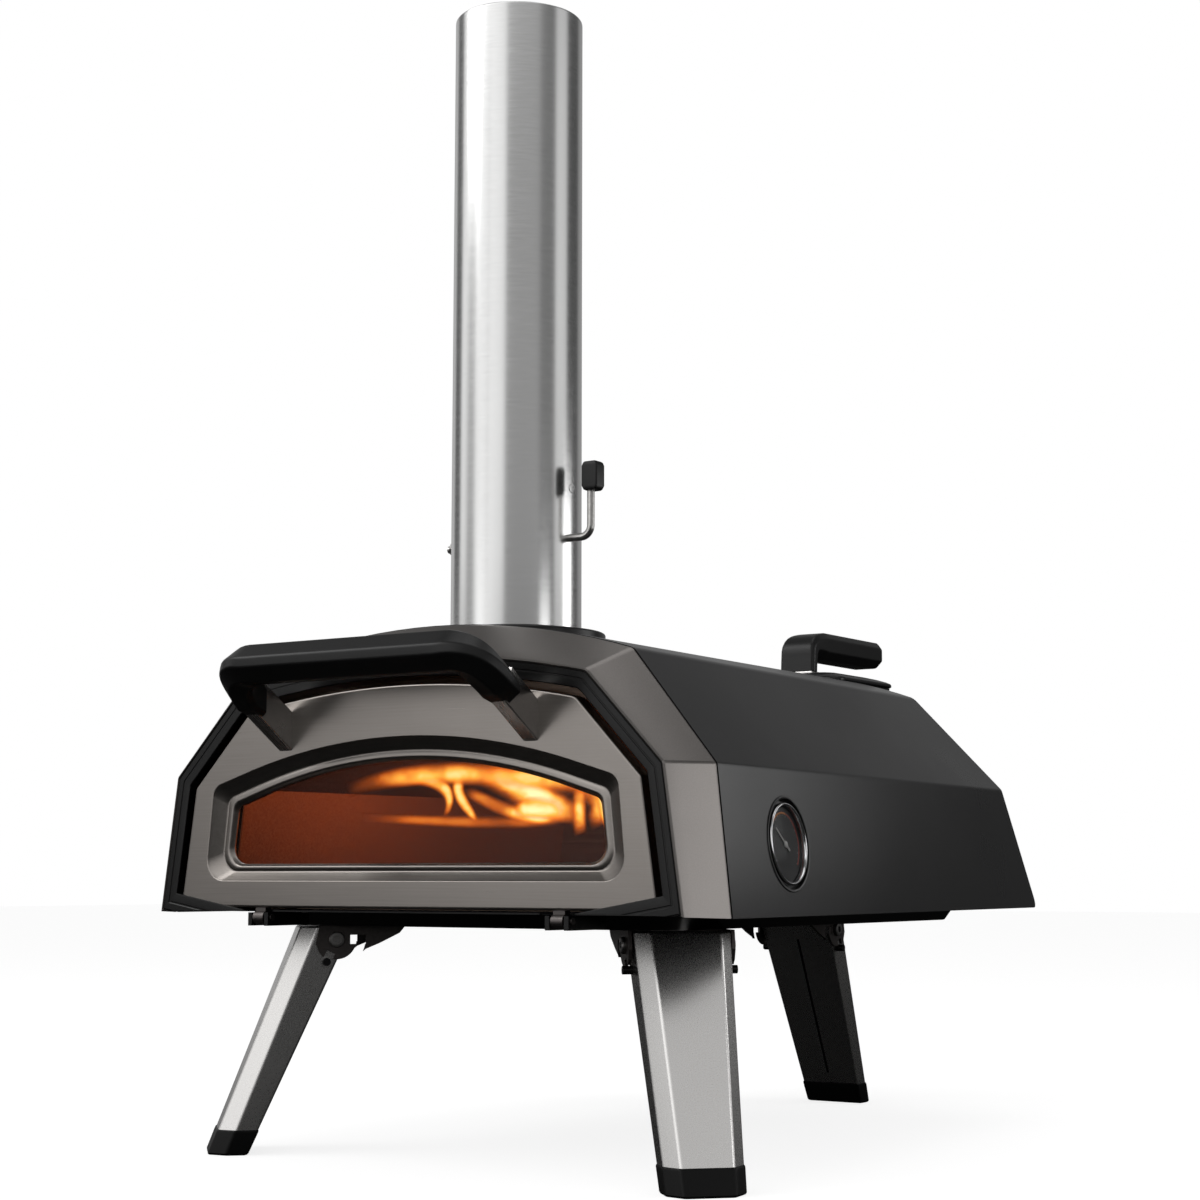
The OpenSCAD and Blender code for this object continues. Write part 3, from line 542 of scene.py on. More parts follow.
# round the frame's section: distance inside the front line, y
FRAME_SECTION = ((FRAME_EDGE, 1.6), (FRAME_EDGE, 0.9), (2.1, 0.4), (5.3, 0.4), (5.7, 0.75), (6.3, 0.75), (6.7, 0.4),
                 (10.7, 0.4), (11.2, 0.6), (FRAME_W, 1.2), (FRAME_W, 20), (10.3, 20), (10.3, 1.6))
frame_rows = []
for d, y in FRAME_SECTION:
    line = rounded(inset(front_line, d), 0.1, 4, 7, steps=5)
    low = BODY_Z + FRAME_EDGE + (d - FRAME_EDGE) / (FRAME_W - FRAME_EDGE)
    frame_rows.append(row(with_bottom(line, low), y))
frame_ring = make("door_frame_ring", *plate_ring(frame_rows), "body", frame_black, "frame_black", ["front_frame"],
                  angle=30)
HINGE_X = 111
for s in (-1, 1):
    cut(frame_ring, *cuboid((s * HINGE_X - 12, -1, 150), (s * HINGE_X + 12, 16, 155)))
crisp(frame_ring, 30)

# ---------------- door
door_line = with_bottom(inset(front_line, 16), BODY_Z + 4)
press_line = outline(156.4, 171, 151, 229, 118, 239, 256)
window_line = outline(140, 181.5, 135.5, 217, 106, 226.5, 242)


def door_ring(d):
    return rounded(inset(door_line, d) if d else door_line, 3, 5, 8, steps=6)


# round the skin's section. DOOR_EDGE is (distance inside the door's line, y), from its turned-back edge to the face.
# The press, there and back along the inside, is (share of the way from its outer line to the window, y).
DOOR_EDGE = ((1.2, 10), (0, 10), (0, 2.4), (0.12, 1.75), (0.45, 1.25), (1.0, 1.02), (1.6, 1.0))
PRESS = ((-0.03, 1.0), (0, 1.05), (0.03, 1.3), (0.08, 2.0), (0.5, 6.0), (0.56, 6.3), (0.62, 6.25), (0.67, 5.7),
         (0.8, 5.55), (0.86, 5.75), (0.91, 6.5), (0.95, 7.5), (1.0, 8.0))
PRESS_BACK = ((1.0, 9.0), (0.9, 8.4), (0.6, 7.6), (0.5, 7.2), (0.06, 3.0), (-0.03, 2.2))
door_rows = [row(door_ring(d), y) for d, y in DOOR_EDGE]
press_ring = rounded(press_line, 13, 9, 15, steps=6)
window_ring = rounded(window_line, 10, 6, 9, steps=6)
for t, y in PRESS + PRESS_BACK:
    door_rows.append(row(blend_lines(press_ring, window_ring, t), y))
door_rows.append(row(door_ring(1.2), 2.2))
make("door_skin", *plate_ring(door_rows), "door", door_metal, "bezel_metal", ["door_panel"], angle=40)

glass_line = inset(window_line, -7)
glass_rows = [row(rounded(inset(glass_line, d) if d else glass_line, 8, 6, 9, steps=5), y)
              for d, y in ((0.5, 8.6), (0, 9.1), (0, 12.1), (0.5, 12.6))]
make("glass_pane", *lofted(glass_rows), "door", door_glass, "door_glass", ["door_glass"], angle=30)


# ---------------- door handle
def bezier(p0, p1, p2, p3, n):
    """n + 1 points along a cubic curve."""
    out = []
    for i in range(n + 1):
        t = i / n
        out.append(p0 * (1 - t) ** 3 + p1 * 3 * t * (1 - t) ** 2 + p2 * 3 * t * t * (1 - t) + p3 * t ** 3)
    return out


ARM_RISE = math.radians(33)
SIDES = ((-1, "left"), (1, "right"))
HANDLE_Y, HANDLE_Z, GRIP_END_Y = -51, 298, -26.2
ELBOW_STEPS, ELBOW_SLIM = 14, 0.14
GRIP_SECTION = [(-13, -3), (-4, -11.5), (8, -11.5), (11, -8), (11, 8), (8, 11.5), (-4, 11.5), (-13, 3)]


def fillet(line, radius, steps=3):
    """A closed polygon with every corner rounded."""
    out = []
    n = len(line)
    for i, b in enumerate(line):
        a, c = line[i - 1], line[(i + 1) % n]
        u, v = unit2((a[0] - b[0], a[1] - b[1])), unit2((c[0] - b[0], c[1] - b[1]))
        for k in range(steps + 1):
            t = k / steps
            p = (b[0] + u[0] * radius, b[1] + u[1] * radius)
            q = (b[0] + v[0] * radius, b[1] + v[1] * radius)
            out.append(tuple(p[j] * (1 - t) ** 2 + b[j] * 2 * t * (1 - t) + q[j] * t * t for j in (0, 1)))
    return out


grip_section = fillet(GRIP_SECTION, 1.3)
arm_dir = Vector((0, math.cos(ARM_RISE), -math.sin(ARM_RISE)))
arm_up = Vector((0, math.sin(ARM_RISE), math.cos(ARM_RISE)))
elbow = bezier(Vector((72, HANDLE_Y, HANDLE_Z)), Vector((86, HANDLE_Y, HANDLE_Z)), Vector((93, -44, 290)),
               Vector((93, -27, 277.5)), ELBOW_STEPS)
grip_rows = []
# from the right arm to the middle, then mirrored: point, share of the way round the elbow, side
path = [(p, i / ELBOW_STEPS) for i, p in reversed(list(enumerate(elbow)))]
path += [(Vector((x, HANDLE_Y, HANDLE_Z)), 0) for x in (60, 30, 0)]
full = [(p, t, 1) for p, t in path] + [(Vector((-p.x, p.y, p.z)), t, -1) for p, t in reversed(path[:-1])]
for i, (p, t, side) in enumerate(full):
    ahead = full[min(i + 1, len(full) - 1)][0] - full[max(i - 1, 0)][0]
    along = ahead.normalized()
    if i in (0, len(full) - 1):
        along = -arm_dir if i == 0 else arm_dir
    upward = (UP * (1 - t) + arm_up * t).normalized()
    outward = along.cross(upward).normalized()
    upward = outward.cross(along).normalized()
    if outward.dot(Vector((side * t, -(1 - t), 0))) < 0:
        outward = -outward
    k = 1 - ELBOW_SLIM * t
    ring = [p - outward * u * k + upward * v * k for u, v in grip_section]
    if i in (0, len(full) - 1):
        ring = [Vector((q.x, GRIP_END_Y, q.z)) for q in ring]
    grip_rows.append([P(*q) for q in ring])
make("handle_bar", *lofted(grip_rows), "door", grip_black, "grip_plastic", ["door_handle_grip"], angle=50)

PANEL_Y, BRACKET_X, BRACKET_Z = 1, 92, 262
for side, word in SIDES:
    section = fillet([(-5, -10), (5, -10), (5, 10), (-5, 10)], 0.8, 3)
    rows = []
    for s in (0, 6, 20, 36):
        ring = []
        for u, v in section:
            q = Vector((side * BRACKET_X + u, PANEL_Y, BRACKET_Z)) - arm_dir * s + arm_up * v
            if s == 0:
                q = q + arm_dir * ((PANEL_Y - q.y) / arm_dir.y)
            ring.append(P(*q))
        rows.append(ring)
    make("handle_arm_" + word, *lofted(rows), "door", arm_steel, "bracket_steel",
         ["door_handle_bracket_" + word], angle=40)

SCREW_HEAD = [(0.001, 0), (4.6, 0), (4.6, 0.9), (3.7, 1), (3.6, 2.0), (3.0, 2.8), (1.6, 3.05), (1.5, 1.9), (0.001, 1.9)]
for side, word in SIDES:
    head = turned(SCREW_HEAD, P(side * HINGE_X, 17, 148), -UP, 40)
    make("hinge_screw_" + word, *head, "body", bolt_steel, "fasteners", ["door_hinge_screws"] if side > 0 else (),
         angle=35)

# ---------------- flue
SPIGOT_R = FLUE_R - 1.9
SPIGOT_IN = SPIGOT_R - 1.2
collar = [(SPIGOT_IN, 302), (SPIGOT_R, 302), (SPIGOT_R, 324.7), (55.2, 324.7), (55.2, 312.5), (COLLAR_R, 312.5),
          (COLLAR_R, 325.2), (56.6, 326.0), (55.8, 326.5), (46, 326.5), (SPIGOT_R + 0.6, 326.5), (SPIGOT_R, 327),
          (SPIGOT_R, 350), (SPIGOT_R - 0.5, 350.5), (SPIGOT_IN, 350.5)]
make("flue_base_flange", *turned(collar, flue_at, UP, 96), "body", frame_black, "shell_black", ["flue_collar"],
     angle=35)
TUBE_Z, FLUE_TOP = 328.2, 730
tube_profile = [(FLUE_R - 1, TUBE_Z), (FLUE_R - 0.2, TUBE_Z), (FLUE_R, TUBE_Z + 0.4)]
tube_profile += [(FLUE_R, z) for z in (400, 500, 600, 700, 728.6)]
tube_profile += [(FLUE_R - 0.1, 729.5), (FLUE_R - 0.5, FLUE_TOP), (FLUE_R - 0.9, 729.5), (FLUE_R - 1, 728.6)]
tube_profile += [(FLUE_R - 1, z) for z in (600, 500, 400)]
make("flue_pipe", *turned(tube_profile, flue_at, UP, 192), "flue", tube_steel, "stainless", ["flue_tube"], angle=30)
# stamped ring mark on the pipe, above the damper's lever
MARK_TURN, MARK_Z = math.radians(91.8948), 417   # round from the front
mark_out = Vector((math.sin(MARK_TURN), -math.cos(MARK_TURN), 0))
mark_at = flue_at + mark_out * (FLUE_R - 0.15) * MM + UP * MARK_Z * MM
make("flue_mark", *turned([(2.1, 0), (2.35, 0.4), (2.6, 0.55), (2.9, 0.4), (3.1, 0)], mark_at, mark_out, 36),
     "flue", tube_steel, "stainless", angle=60)

DAMPER_Z, ROD_R, LEVER_X, BEND = 385, 2.4, 57.3, 7
rod_path = [P(x, FLUE_Y, DAMPER_Z) for x in (-54, -20, 20, 46)]
for k in range(9):
    a = math.pi / 2 * k / 8
    rod_path.append(P(LEVER_X - BEND + BEND * math.sin(a), FLUE_Y, DAMPER_Z + BEND - BEND * math.cos(a)))
rod_path += [P(LEVER_X, FLUE_Y, z) for z in (400, 418)]
make("damper_lever", *tube(rod_path, ROD_R, 28), "damper", steel, "stainless", ["damper_rod"], angle=50)
knob_profile = fillet([(-4.3, -4.8), (7.3, -4.8), (7.3, 4.8), (-4.3, 4.8)], 1.2, 3)
# height, and the profile's scale there
KNOB_HEIGHTS = ((413.6, 0.62), (414.2, 0.8), (416.5, 1.0), (429.2, 1.0), (431.2, 0.86), (431.9, 0.7))
knob_rows = []
for z, k in KNOB_HEIGHTS:
    knob_rows.append([P(LEVER_X + 1.5 + (u - 1.5) * k, FLUE_Y + v * (0.5 + 0.5 * k), z) for u, v in knob_profile])
make("lever_knob", *lofted(knob_rows), "damper", grip_black, "grip_plastic", ["damper_knob"], angle=35)
NUT_R = 4.3
nut_rows = []
for x, k in ((-52, 0.8), (-51.2, 1), (-47, 1), (-46.2, 0.85)):
    corners = [math.pi * i / 3 for i in range(6)]
    nut_rows.append([P(x, FLUE_Y + NUT_R * k * math.cos(a), DAMPER_Z + NUT_R * k * math.sin(a)) for a in corners])
make("lever_nut", *lofted(nut_rows), "damper", bolt_steel, "fasteners", ["damper_nut"], angle=30)


# ---------------- thermometer
def on_gauge(x, y, z):
    """A point given on the dial, z outward from the wall."""
    return gauge_at + gauge_turn @ (Vector((x, y, z)) * MM)


case = [(0.001, -33.6), (2.6, -34), (3, -33.4), (3, -9), (22, -9), (22, -4.2), (27, -4.2), (27, 0.1), (27.8, 0.1),
        (28, 0.35), (27.7, 0.58), (27.2, 0.6), (26.5, 0.45), (26.2, 0), (26.2, -2.8), (25.8, -3.2), (0.001, -3.2)]
make("gauge_case", *turned(case, gauge_at, gauge_out, 96), "body", frame_black, "frame_black", ["thermometer_case"],
     angle=35)
ring_profile = [(22.1, -3.2), (24, -3.2), (24, 0), (23.85, 0.5), (23.5, 0.8), (23.1, 0.9), (22.8, 0.75), (22.5, 0.3),
                (22.1, -0.9)]
make("gauge_rim", *turned(ring_profile, gauge_at, gauge_out, 96), "body", chrome, "chrome", ["thermometer_ring"],
     angle=40)
DIAL_TOP = -2.4
make("gauge_face", *turned([(0.001, -3.2), (21.5, -3.2), (21.7, -3), (21.7, -2.6), (21.5, DIAL_TOP), (0.001, DIAL_TOP)],
                           gauge_at, gauge_out, 64), "body", dial_black, "frame_black", ["thermometer_dial"], angle=35)


def arc_band(r0, r1, a0, a1, steps):
    """A printed arc or tick on the dial, between two radii and two angles in degrees."""
    rows = []
    for i in range(steps + 1):
        a = math.radians(a0 + (a1 - a0) * i / steps)
        c, s = math.cos(a), math.sin(a)
        low = DIAL_TOP - 0.1
        rows.append([on_gauge(r * c, r * s, h) for r, h in ((r0, low), (r0, PRINT), (r1, PRINT), (r1, low))])
    return lofted(rows)


PRINT = DIAL_TOP + 0.08   # height of the dial's marks
ARC_IN, ARC_OUT, ARC_START, ARC_SWEEP, TICKS = 17.8, 18.9, 215, 255, 23
make("gauge_arc_warm", *arc_band(ARC_IN, ARC_OUT, ARC_START, 75, 40), "body", arc_orange, "needle_white", angle=50)
make("gauge_arc_hot", *arc_band(ARC_IN, ARC_OUT, 73, ARC_START - ARC_SWEEP, 44), "body", arc_red, "needle_white",
     angle=50)
ticks = []
for i in range(TICKS):
    a = ARC_START - ARC_SWEEP * i / (TICKS - 1)
    long = i % 4 == 0
    half = 0.5 if long else 0.25
    ticks.append(arc_band(15.9 if long else 16.7, 17.5, a - half, a + half, 1))
make("gauge_ticks", *join(*ticks), "body", tick_white, "needle_white", angle=50)
NEEDLE_TURN = math.radians(140)
needle_rows = []
for x, half in ((-5.5, 0.8), (-5.2, 0.85), (0, 0.6), (14.5, 0.28), (14.9, 0.15)):
    ring = []
    for v, h in ((-half, -1.8), (half, -1.8), (half * 0.5, -1.42), (-half * 0.5, -1.42)):
        ring.append(on_gauge(x * math.cos(NEEDLE_TURN) - v * math.sin(NEEDLE_TURN),
                             x * math.sin(NEEDLE_TURN) + v * math.cos(NEEDLE_TURN), h))
    needle_rows.append(ring)
HUB = [(0.001, -2.05), (1.9, -2.05), (2, -1.8), (1.9, -1.4), (1.5, -1.2), (0.001, -1.15)]
hub = turned(HUB, gauge_at, gauge_out, 32)
make("gauge_pointer", *join(lofted(needle_rows), hub), "needle", needle_grey, "needle_white",
     ["thermometer_needle"], angle=35)
lens_profile = [(0.001, -0.8), (21.6, -0.8), (21.8, -0.6), (21.8, -0.3), (14, -0.05), (7, 0.06), (0.001, 0.1)]
make("gauge_lens", *turned(lens_profile, gauge_at, gauge_out, 64), "body", lens_clear, "lens", ["thermometer_lens"],
     angle=30)

# ---------------- hatch lid and handle
HATCH_Y0, HATCH_Y1, HATCH_HALF = 442, 536, 59
LID_MID = (HATCH_Y0 + HATCH_Y1) / 2


def lid_ring(dx, z, r):
    """The lid's outline dx inside its edge, at a height, with its corners rounded."""
    half_y = (HATCH_Y1 - HATCH_Y0) / 2 - dx
    half_x = HATCH_HALF - dx
    line = fillet([(half_x, -half_y), (half_x, half_y), (-half_x, half_y), (-half_x, -half_y)], r, 6)
    return [P(x, LID_MID + y, z) for x, y in line]


LID_SECTION = ((2.5, 319.1, 8), (0.4, 319.1, 10), (0, 319.6, 10), (0, 320.9, 10), (0.6, 322, 10), (3, 323.2, 10),
               (8, 324.9, 10), (15, 326.6, 9), (23, 327.7, 8), (30, 328, 6))
lid_rows = [lid_ring(d, z, r) for d, z, r in LID_SECTION]
make("hatch_cover", *lofted(lid_rows), "hatch", shell_black, "shell_black", (), angle=40)
# the rim that drops into the hatch: half width, y at each end, height
RIM_SECTION = ((48, 453, 527, 313), (48, 453, 527, 319.2), (46, 455, 525, 319.2), (46, 455, 525, 313))
rim_rows = [[P(a, b, z), P(a, c, z), P(-a, c, z), P(-a, b, z)] for a, b, c, z in RIM_SECTION]
make("hatch_cover_rim", *plate_ring(rim_rows), "hatch", frame_black, "frame_black", ["hatch_lid"], angle=30)
STRAP_Y, GRIP_END, GRIP_LOW, GRIP_TOP = 484, 606, 342, 363
GRIP_HALF, GRIP_DEPTH, TIP_ROWS = 15, 21, 3
make("hatch_foot", *cuboid((-14, STRAP_Y - 1, 328.02), (14, STRAP_Y + 13, 331)), "hatch", arm_steel, "bracket_steel",
     ["hatch_handle_foot"], bevel=0.6)
mid_z = (GRIP_LOW + GRIP_TOP) / 2
# points along the grip with its depth at each, from the foot up, round the corner and out to the tip
hatch_path = [(Vector((0, STRAP_Y + 4.5, 331.05)), 9), (Vector((0, STRAP_Y + 5.2, 340)), 9.4)]
corner = bezier(Vector((0, STRAP_Y + 5.6, 344)), Vector((0, STRAP_Y + 6.2, 352.5)), Vector((0, STRAP_Y + 13, mid_z)),
                Vector((0, STRAP_Y + 26, mid_z)), 8)
for i, p in enumerate(corner):
    hatch_path.append((p, 9.6 + (GRIP_DEPTH - 9.6) * i / 8))
hatch_path += [(Vector((0, y, mid_z)), GRIP_DEPTH) for y in (530, 570, GRIP_END - 5)]
hatch_path += [(Vector((0, GRIP_END - back, mid_z)), depth) for back, depth in ((2.2, 20), (0.5, 17.5), (0, 15))]
hatch_rows = []
for i, (p, depth) in enumerate(hatch_path):
    ahead = hatch_path[min(i + 1, len(hatch_path) - 1)][0] - hatch_path[max(i - 1, 0)][0]
    along = Vector((0, ahead.y, ahead.z)).normalized()
    across = Vector((0, -along.z, along.y))
    half = GRIP_HALF if i < len(hatch_path) - TIP_ROWS else GRIP_HALF * (depth / GRIP_DEPTH) ** 0.8
    c, top = min(depth * 0.28, 5.5), depth / 2
    section = fillet([(-half, -top + c), (-half + c, -top), (half - c, -top), (half, -top + c),
                      (half, top - c * 0.9), (half - c * 0.7, top), (-half + c * 0.7, top), (-half, top - c * 0.9)],
                     min(1.2, c * 0.4), 3)
    hatch_rows.append([P(u, p.y + across.y * v, p.z + across.z * v) for u, v in section])
make("hatch_grip", *lofted(hatch_rows), "hatch", grip_black, "grip_plastic", ["hatch_handle_grip"], angle=45)

# ---------------- base pan and tray pull
PAN = [(150, 60), (140, 448), (95, 500), (-95, 500), (-140, 448), (-150, 60)]


def pan_ring(d, z):
    """The pan's outline a distance d inside its edge, at a height."""
    return [P(x, y, z) for x, y in fillet(inset(PAN, d), 9, 5)]


PAN_SECTION = ((0.8, 143), (0.2, 143.3), (-0.4, 144), (-5.6, 151.8), (-5.2, 152), (-4.2, 151.8), (1.5, 144.6))
pan_rows = [pan_ring(d, z) for d, z in PAN_SECTION]
make("base_tray", *lofted(pan_rows), "body", frame_black, "frame_black", ["base_pan"], angle=30)
TRAY_PULL_Y, TRAY_PULL_Z, PULL_R, STEM_R = 604, 196, 8, 4
PULL_MID = TRAY_PULL_Y - PULL_R
pull = fillet([(PULL_MID - PULL_R, -PULL_R), (TRAY_PULL_Y, -PULL_R), (TRAY_PULL_Y, PULL_R),
               (PULL_MID - PULL_R, PULL_R)], 3, 4)
pull_rows = []
for x, k in ((-45, 0.82), (-44.2, 0.93), (-42.5, 1), (42.5, 1), (44.2, 0.93), (45, 0.82)):
    pull_rows.append([P(x, PULL_MID + (y - PULL_MID) * k, TRAY_PULL_Z + z * k) for y, z in pull])
stems = [tube([P(s * 34, y, TRAY_PULL_Z) for y in (550.5, 560, 575, 589)], STEM_R, 20) for s in (-1, 1)]
make("tray_pull", *join(lofted(pull_rows), *stems), "tray", grip_black, "grip_plastic", ["tray_handle"], angle=35)

# ---------------- legs
LEG_LEAN = math.radians(24.2)
LEG_LEN, INNER_D, PIVOT_Z = 165, 6, 134
LEGS = {"front_left": (Vector((-131.6, 94.4, PIVOT_Z)), math.radians(135)),
        "front_right": (Vector((131.6, 94.4, PIVOT_Z)), math.radians(-135)),
        "rear": (Vector((0, 485, PIVOT_Z)), 0.0)}


def leg_section(z, proud):
    """The leg's section at a height along it, standing proud of its surface. It tapers towards the foot."""
    t = -z / LEG_LEN
    half, thick = 29 + (22 - 29) * t + proud, 30 + (21 - 30) * t - INNER_D + proud
    low = -INNER_D - proud
    return fillet([(half, low), (half, thick - 10), (half - 8, thick), (-half + 8, thick), (-half, thick - 10),
                   (-half, low)], 1.4, 4)


def leg_rows(which, heights, proud):
    """Level rings round a leaning leg, so that its ends are flat. heights are (height, extra proud)."""
    origin, heading = LEGS[which]
    turn = Matrix.Rotation(heading, 3, "Z")
    count = len(leg_section(0, 0))
    rows = []
    for zw, extra in heights:
        ring = []
        for k in range(count):
            z = zw - PIVOT_Z
            for _ in range(8):
                u, v = leg_section(z, proud + extra)[k]
                z = (zw - PIVOT_Z - v * math.sin(LEG_LEAN)) / math.cos(LEG_LEAN)
            q = turn @ Vector((u, v * math.cos(LEG_LEAN) - z * math.sin(LEG_LEAN), 0))
            ring.append(P(origin.x + q.x, origin.y + q.y, zw))
        rows.append(ring)
    return rows


TUBE_HEIGHTS = ((15.5, 0), (50, 0), (90, 0), (120, 0), (141.2, 0), (142, -0.6))
FOOT_HEIGHTS = ((0, -1.2), (0.5, -0.4), (1.4, 0), (14.2, 0), (15.1, -0.2), (15.5, -0.8))
FOOT_PROUD = 0.6
SEAM_SECTION = ((-0.9, -INNER_D - 0.15), (0.9, -INNER_D - 0.15), (0.9, -INNER_D + 0.4), (-0.9, -INNER_D + 0.4))
for which in LEGS:
    body = "leg_" + which + "_body"
    make("leg_tube_" + which, *lofted(leg_rows(which, TUBE_HEIGHTS, 0)), body, leg_steel, "stainless",
         ["leg_" + which], angle=25)
    make("leg_foot_" + which, *lofted(leg_rows(which, FOOT_HEIGHTS, FOOT_PROUD)), body, foot_black, "foot_rubber",
         ["foot_" + which], angle=25)
    # closing seam along the leg's inner face
    origin, heading = LEGS[which]
    turn = Matrix.Rotation(heading, 3, "Z") @ Matrix.Rotation(LEG_LEAN, 3, "X")
    seam = []
    for z in (-LEG_LEN * 0.72, -LEG_LEN * 0.4, -6):
        seam.append([P(*(origin + turn @ Vector(q + (z,)))) for q in SEAM_SECTION])
    make("leg_seam_" + which, *lofted(seam), body, frame_black, "frame_black", angle=30)

EAR = 31.8   # from the leg's middle to the outer face of its bracket's ear
BOLT_HEAD = [(0.001, 0), (5, 0), (5, 1.6), (4.5, 2.3), (3.4, 2.5), (2.2, 2.45), (2.1, 1.0), (0.001, 1.0)]
bolts = []
for which, (origin, heading) in LEGS.items():
    axis = Matrix.Rotation(heading, 3, "Z") @ Vector((1, 0, 0))
    for s in (-1, 1):
        at = origin + axis * s * EAR
        bolts.append(turned(BOLT_HEAD, P(*at), axis * s, 40))
    bolts.append(tube([P(*(origin + axis * x)) for x in (-EAR, 0, EAR)], 3, 20))
make("leg_bolts", *join(*bolts), "body", bolt_steel, "fasteners", ["leg_pivot_bolts"], angle=35)

# ---------------- looks of the pieces kept from the CAD
KEPT = {
    liner_steel: ["inner_liner", "front_wall", "stone_rails", "flame_guard"],
    shell_black: ["rear_panel", "base_plate", "fuel_box", "hatch_frame", "tray_face_plate"],
    frame_black: ["door_hinge_brackets", "leg_lock_pin_front_left", "leg_lock_pin_front_right", "leg_lock_pin_rear"],
    dark_steel: ["door_hinge_pins", "door_back_frame", "leg_bracket_front_left", "leg_bracket_front_right",
                 "leg_bracket_rear"],
    steel: ["damper_plate"],
    tray_steel: ["fuel_tray", "fuel_grate"],
    bolt_steel: ["door_frame_screws", "door_handle_screws", "tray_handle_screws"],
    stone_mat: ["pizza_stone"],
    fibre: ["insulation_blanket"],
    gasket: ["door_gasket", "flue_seal_ring"],
}
for mat, names in KEPT.items():
    for name in names:
        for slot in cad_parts[name].material_slots:
            slot.material = mat

# ---------------- floor
def stage_shader(name):
    """A material with nothing in it yet, and its output node."""
    mat = bpy.data.materials.new(name)
    mat.use_nodes = True
    mat.node_tree.nodes.remove(mat.node_tree.nodes["Principled BSDF"])
    return mat, mat.node_tree.nodes["Material Output"]


# white to the camera, and dim in the oven's reflections and bounce, so that it doesn't light the oven from below
floor_mat, floor_out = stage_shader("floor")
pale = node(floor_mat, "ShaderNodeBsdfDiffuse", Color=(0.45, 0.45, 0.45, 1))
glow = node(floor_mat, "ShaderNodeEmission", Color=(1, 1, 1, 1), Strength=0.82)
lit = node(floor_mat, "ShaderNodeAddShader", i0=(pale, 0), i1=(glow, 0))
dim = node(floor_mat, "ShaderNodeBsdfDiffuse", Color=(0.025, 0.025, 0.025, 1))
looked_at = node(floor_mat, "ShaderNodeLightPath")
both = node(floor_mat, "ShaderNodeMixShader", i0=(looked_at, "Is Camera Ray"), i1=(dim, 0), i2=(lit, 0))
link(floor_mat, both, 0, floor_out, "Surface")
floor_mesh = bpy.data.meshes.new("floor")
floor_mesh.from_pydata([(-9, -9, 0), (9, -9, 0), (9, 9, 0), (-9, 9, 0)], [], [(0, 1, 2, 3)])
floor = bpy.data.objects.new("floor", floor_mesh)
floor.data.materials.append(floor_mat)
scene.collection.objects.link(floor)

# ---------------- fire, which isn't part of the oven
flame_mat, flame_out = stage_shader("flame")
ribbon = node(flame_mat, "ShaderNodeUVMap", uv_map="burn")
burn = node(flame_mat, "ShaderNodeSeparateXYZ", Vector=(ribbon, "UV"))
lick = stretched_noise(flame_mat, 30.0, (1, 1, 1.6), 3.0)
shape = node(flame_mat, "ShaderNodeMapRange", Value=(lick, "Fac"), From_Min=0.3, From_Max=0.62, To_Min=0.35,
             To_Max=1.0)
solid_part = node(flame_mat, "ShaderNodeMath", operation="MULTIPLY", i0=(burn, "X"), i1=(shape, 0))
level = node(flame_mat, "ShaderNodeMath", operation="MULTIPLY", i0=(solid_part, 0), i1=(burn, "Y"))
flame_colour = ramp(flame_mat, level, 0, [(0.0, (0.25, 0.03, 0.0)), (0.3, (0.85, 0.16, 0.01)),
                                          (0.6, (1.0, 0.42, 0.05)), (1.0, (1.0, 0.8, 0.38))])
burning = node(flame_mat, "ShaderNodeEmission", Color=(flame_colour, 0), Strength=3.1)
clear = node(flame_mat, "ShaderNodeBsdfTransparent")
cover = node(flame_mat, "ShaderNodeMath", operation="MULTIPLY", i0=(level, 0), i1=1.5, use_clamp=True)
flame_mix = node(flame_mat, "ShaderNodeMixShader", i0=(cover, 0), i1=(clear, 0), i2=(burning, 0))
link(flame_mat, flame_mix, 0, flame_out, "Surface")


RIBBON_STEPS, ACROSS_STEPS = 24, 8


def flame(name, points, widths, heat):
    """A soft-edged ribbon along a curve: four control points, a half width at the start, middle and end, and its heat.
    The UV layer "burn" carries what the material reads: how solid the ribbon is in X, its heat in Y."""
    spine = bezier(*[Vector(p) for p in points], RIBBON_STEPS)
    verts, faces, soft = [], [], []
    for i, p in enumerate(spine):
        t = i / RIBBON_STEPS
        ahead = spine[min(i + 1, RIBBON_STEPS)] - spine[max(i - 1, 0)]
        side = Vector((-ahead.z, 0, ahead.x)).normalized()
        width = widths[0] * (1 - t) ** 2 + widths[1] * 2 * t * (1 - t) + widths[2] * t * t
        for k in range(ACROSS_STEPS + 1):
            u = 2 * k / ACROSS_STEPS - 1
            verts.append(P(*(p + side * u * width)))
            soft.append((1 - u * u) ** 1.3 * min(1, 5 * t, 5 * (1 - t)))
    for i in range(RIBBON_STEPS):
        for k in range(ACROSS_STEPS):
            a = i * (ACROSS_STEPS + 1) + k
            faces.append((a, a + 1, a + ACROSS_STEPS + 2, a + ACROSS_STEPS + 1))
    mesh = bpy.data.meshes.new(name)
    mesh.from_pydata([tuple(v) for v in verts], [], faces)
    layer = mesh.uv_layers.new(name="burn")
    for loop in mesh.loops:
        layer.data[loop.index].uv = (soft[loop.vertex_index], heat)
    mesh.materials.append(flame_mat)
    obj = bpy.data.objects.new(name, mesh)
    obj.visible_shadow = False
    scene.collection.objects.link(obj)


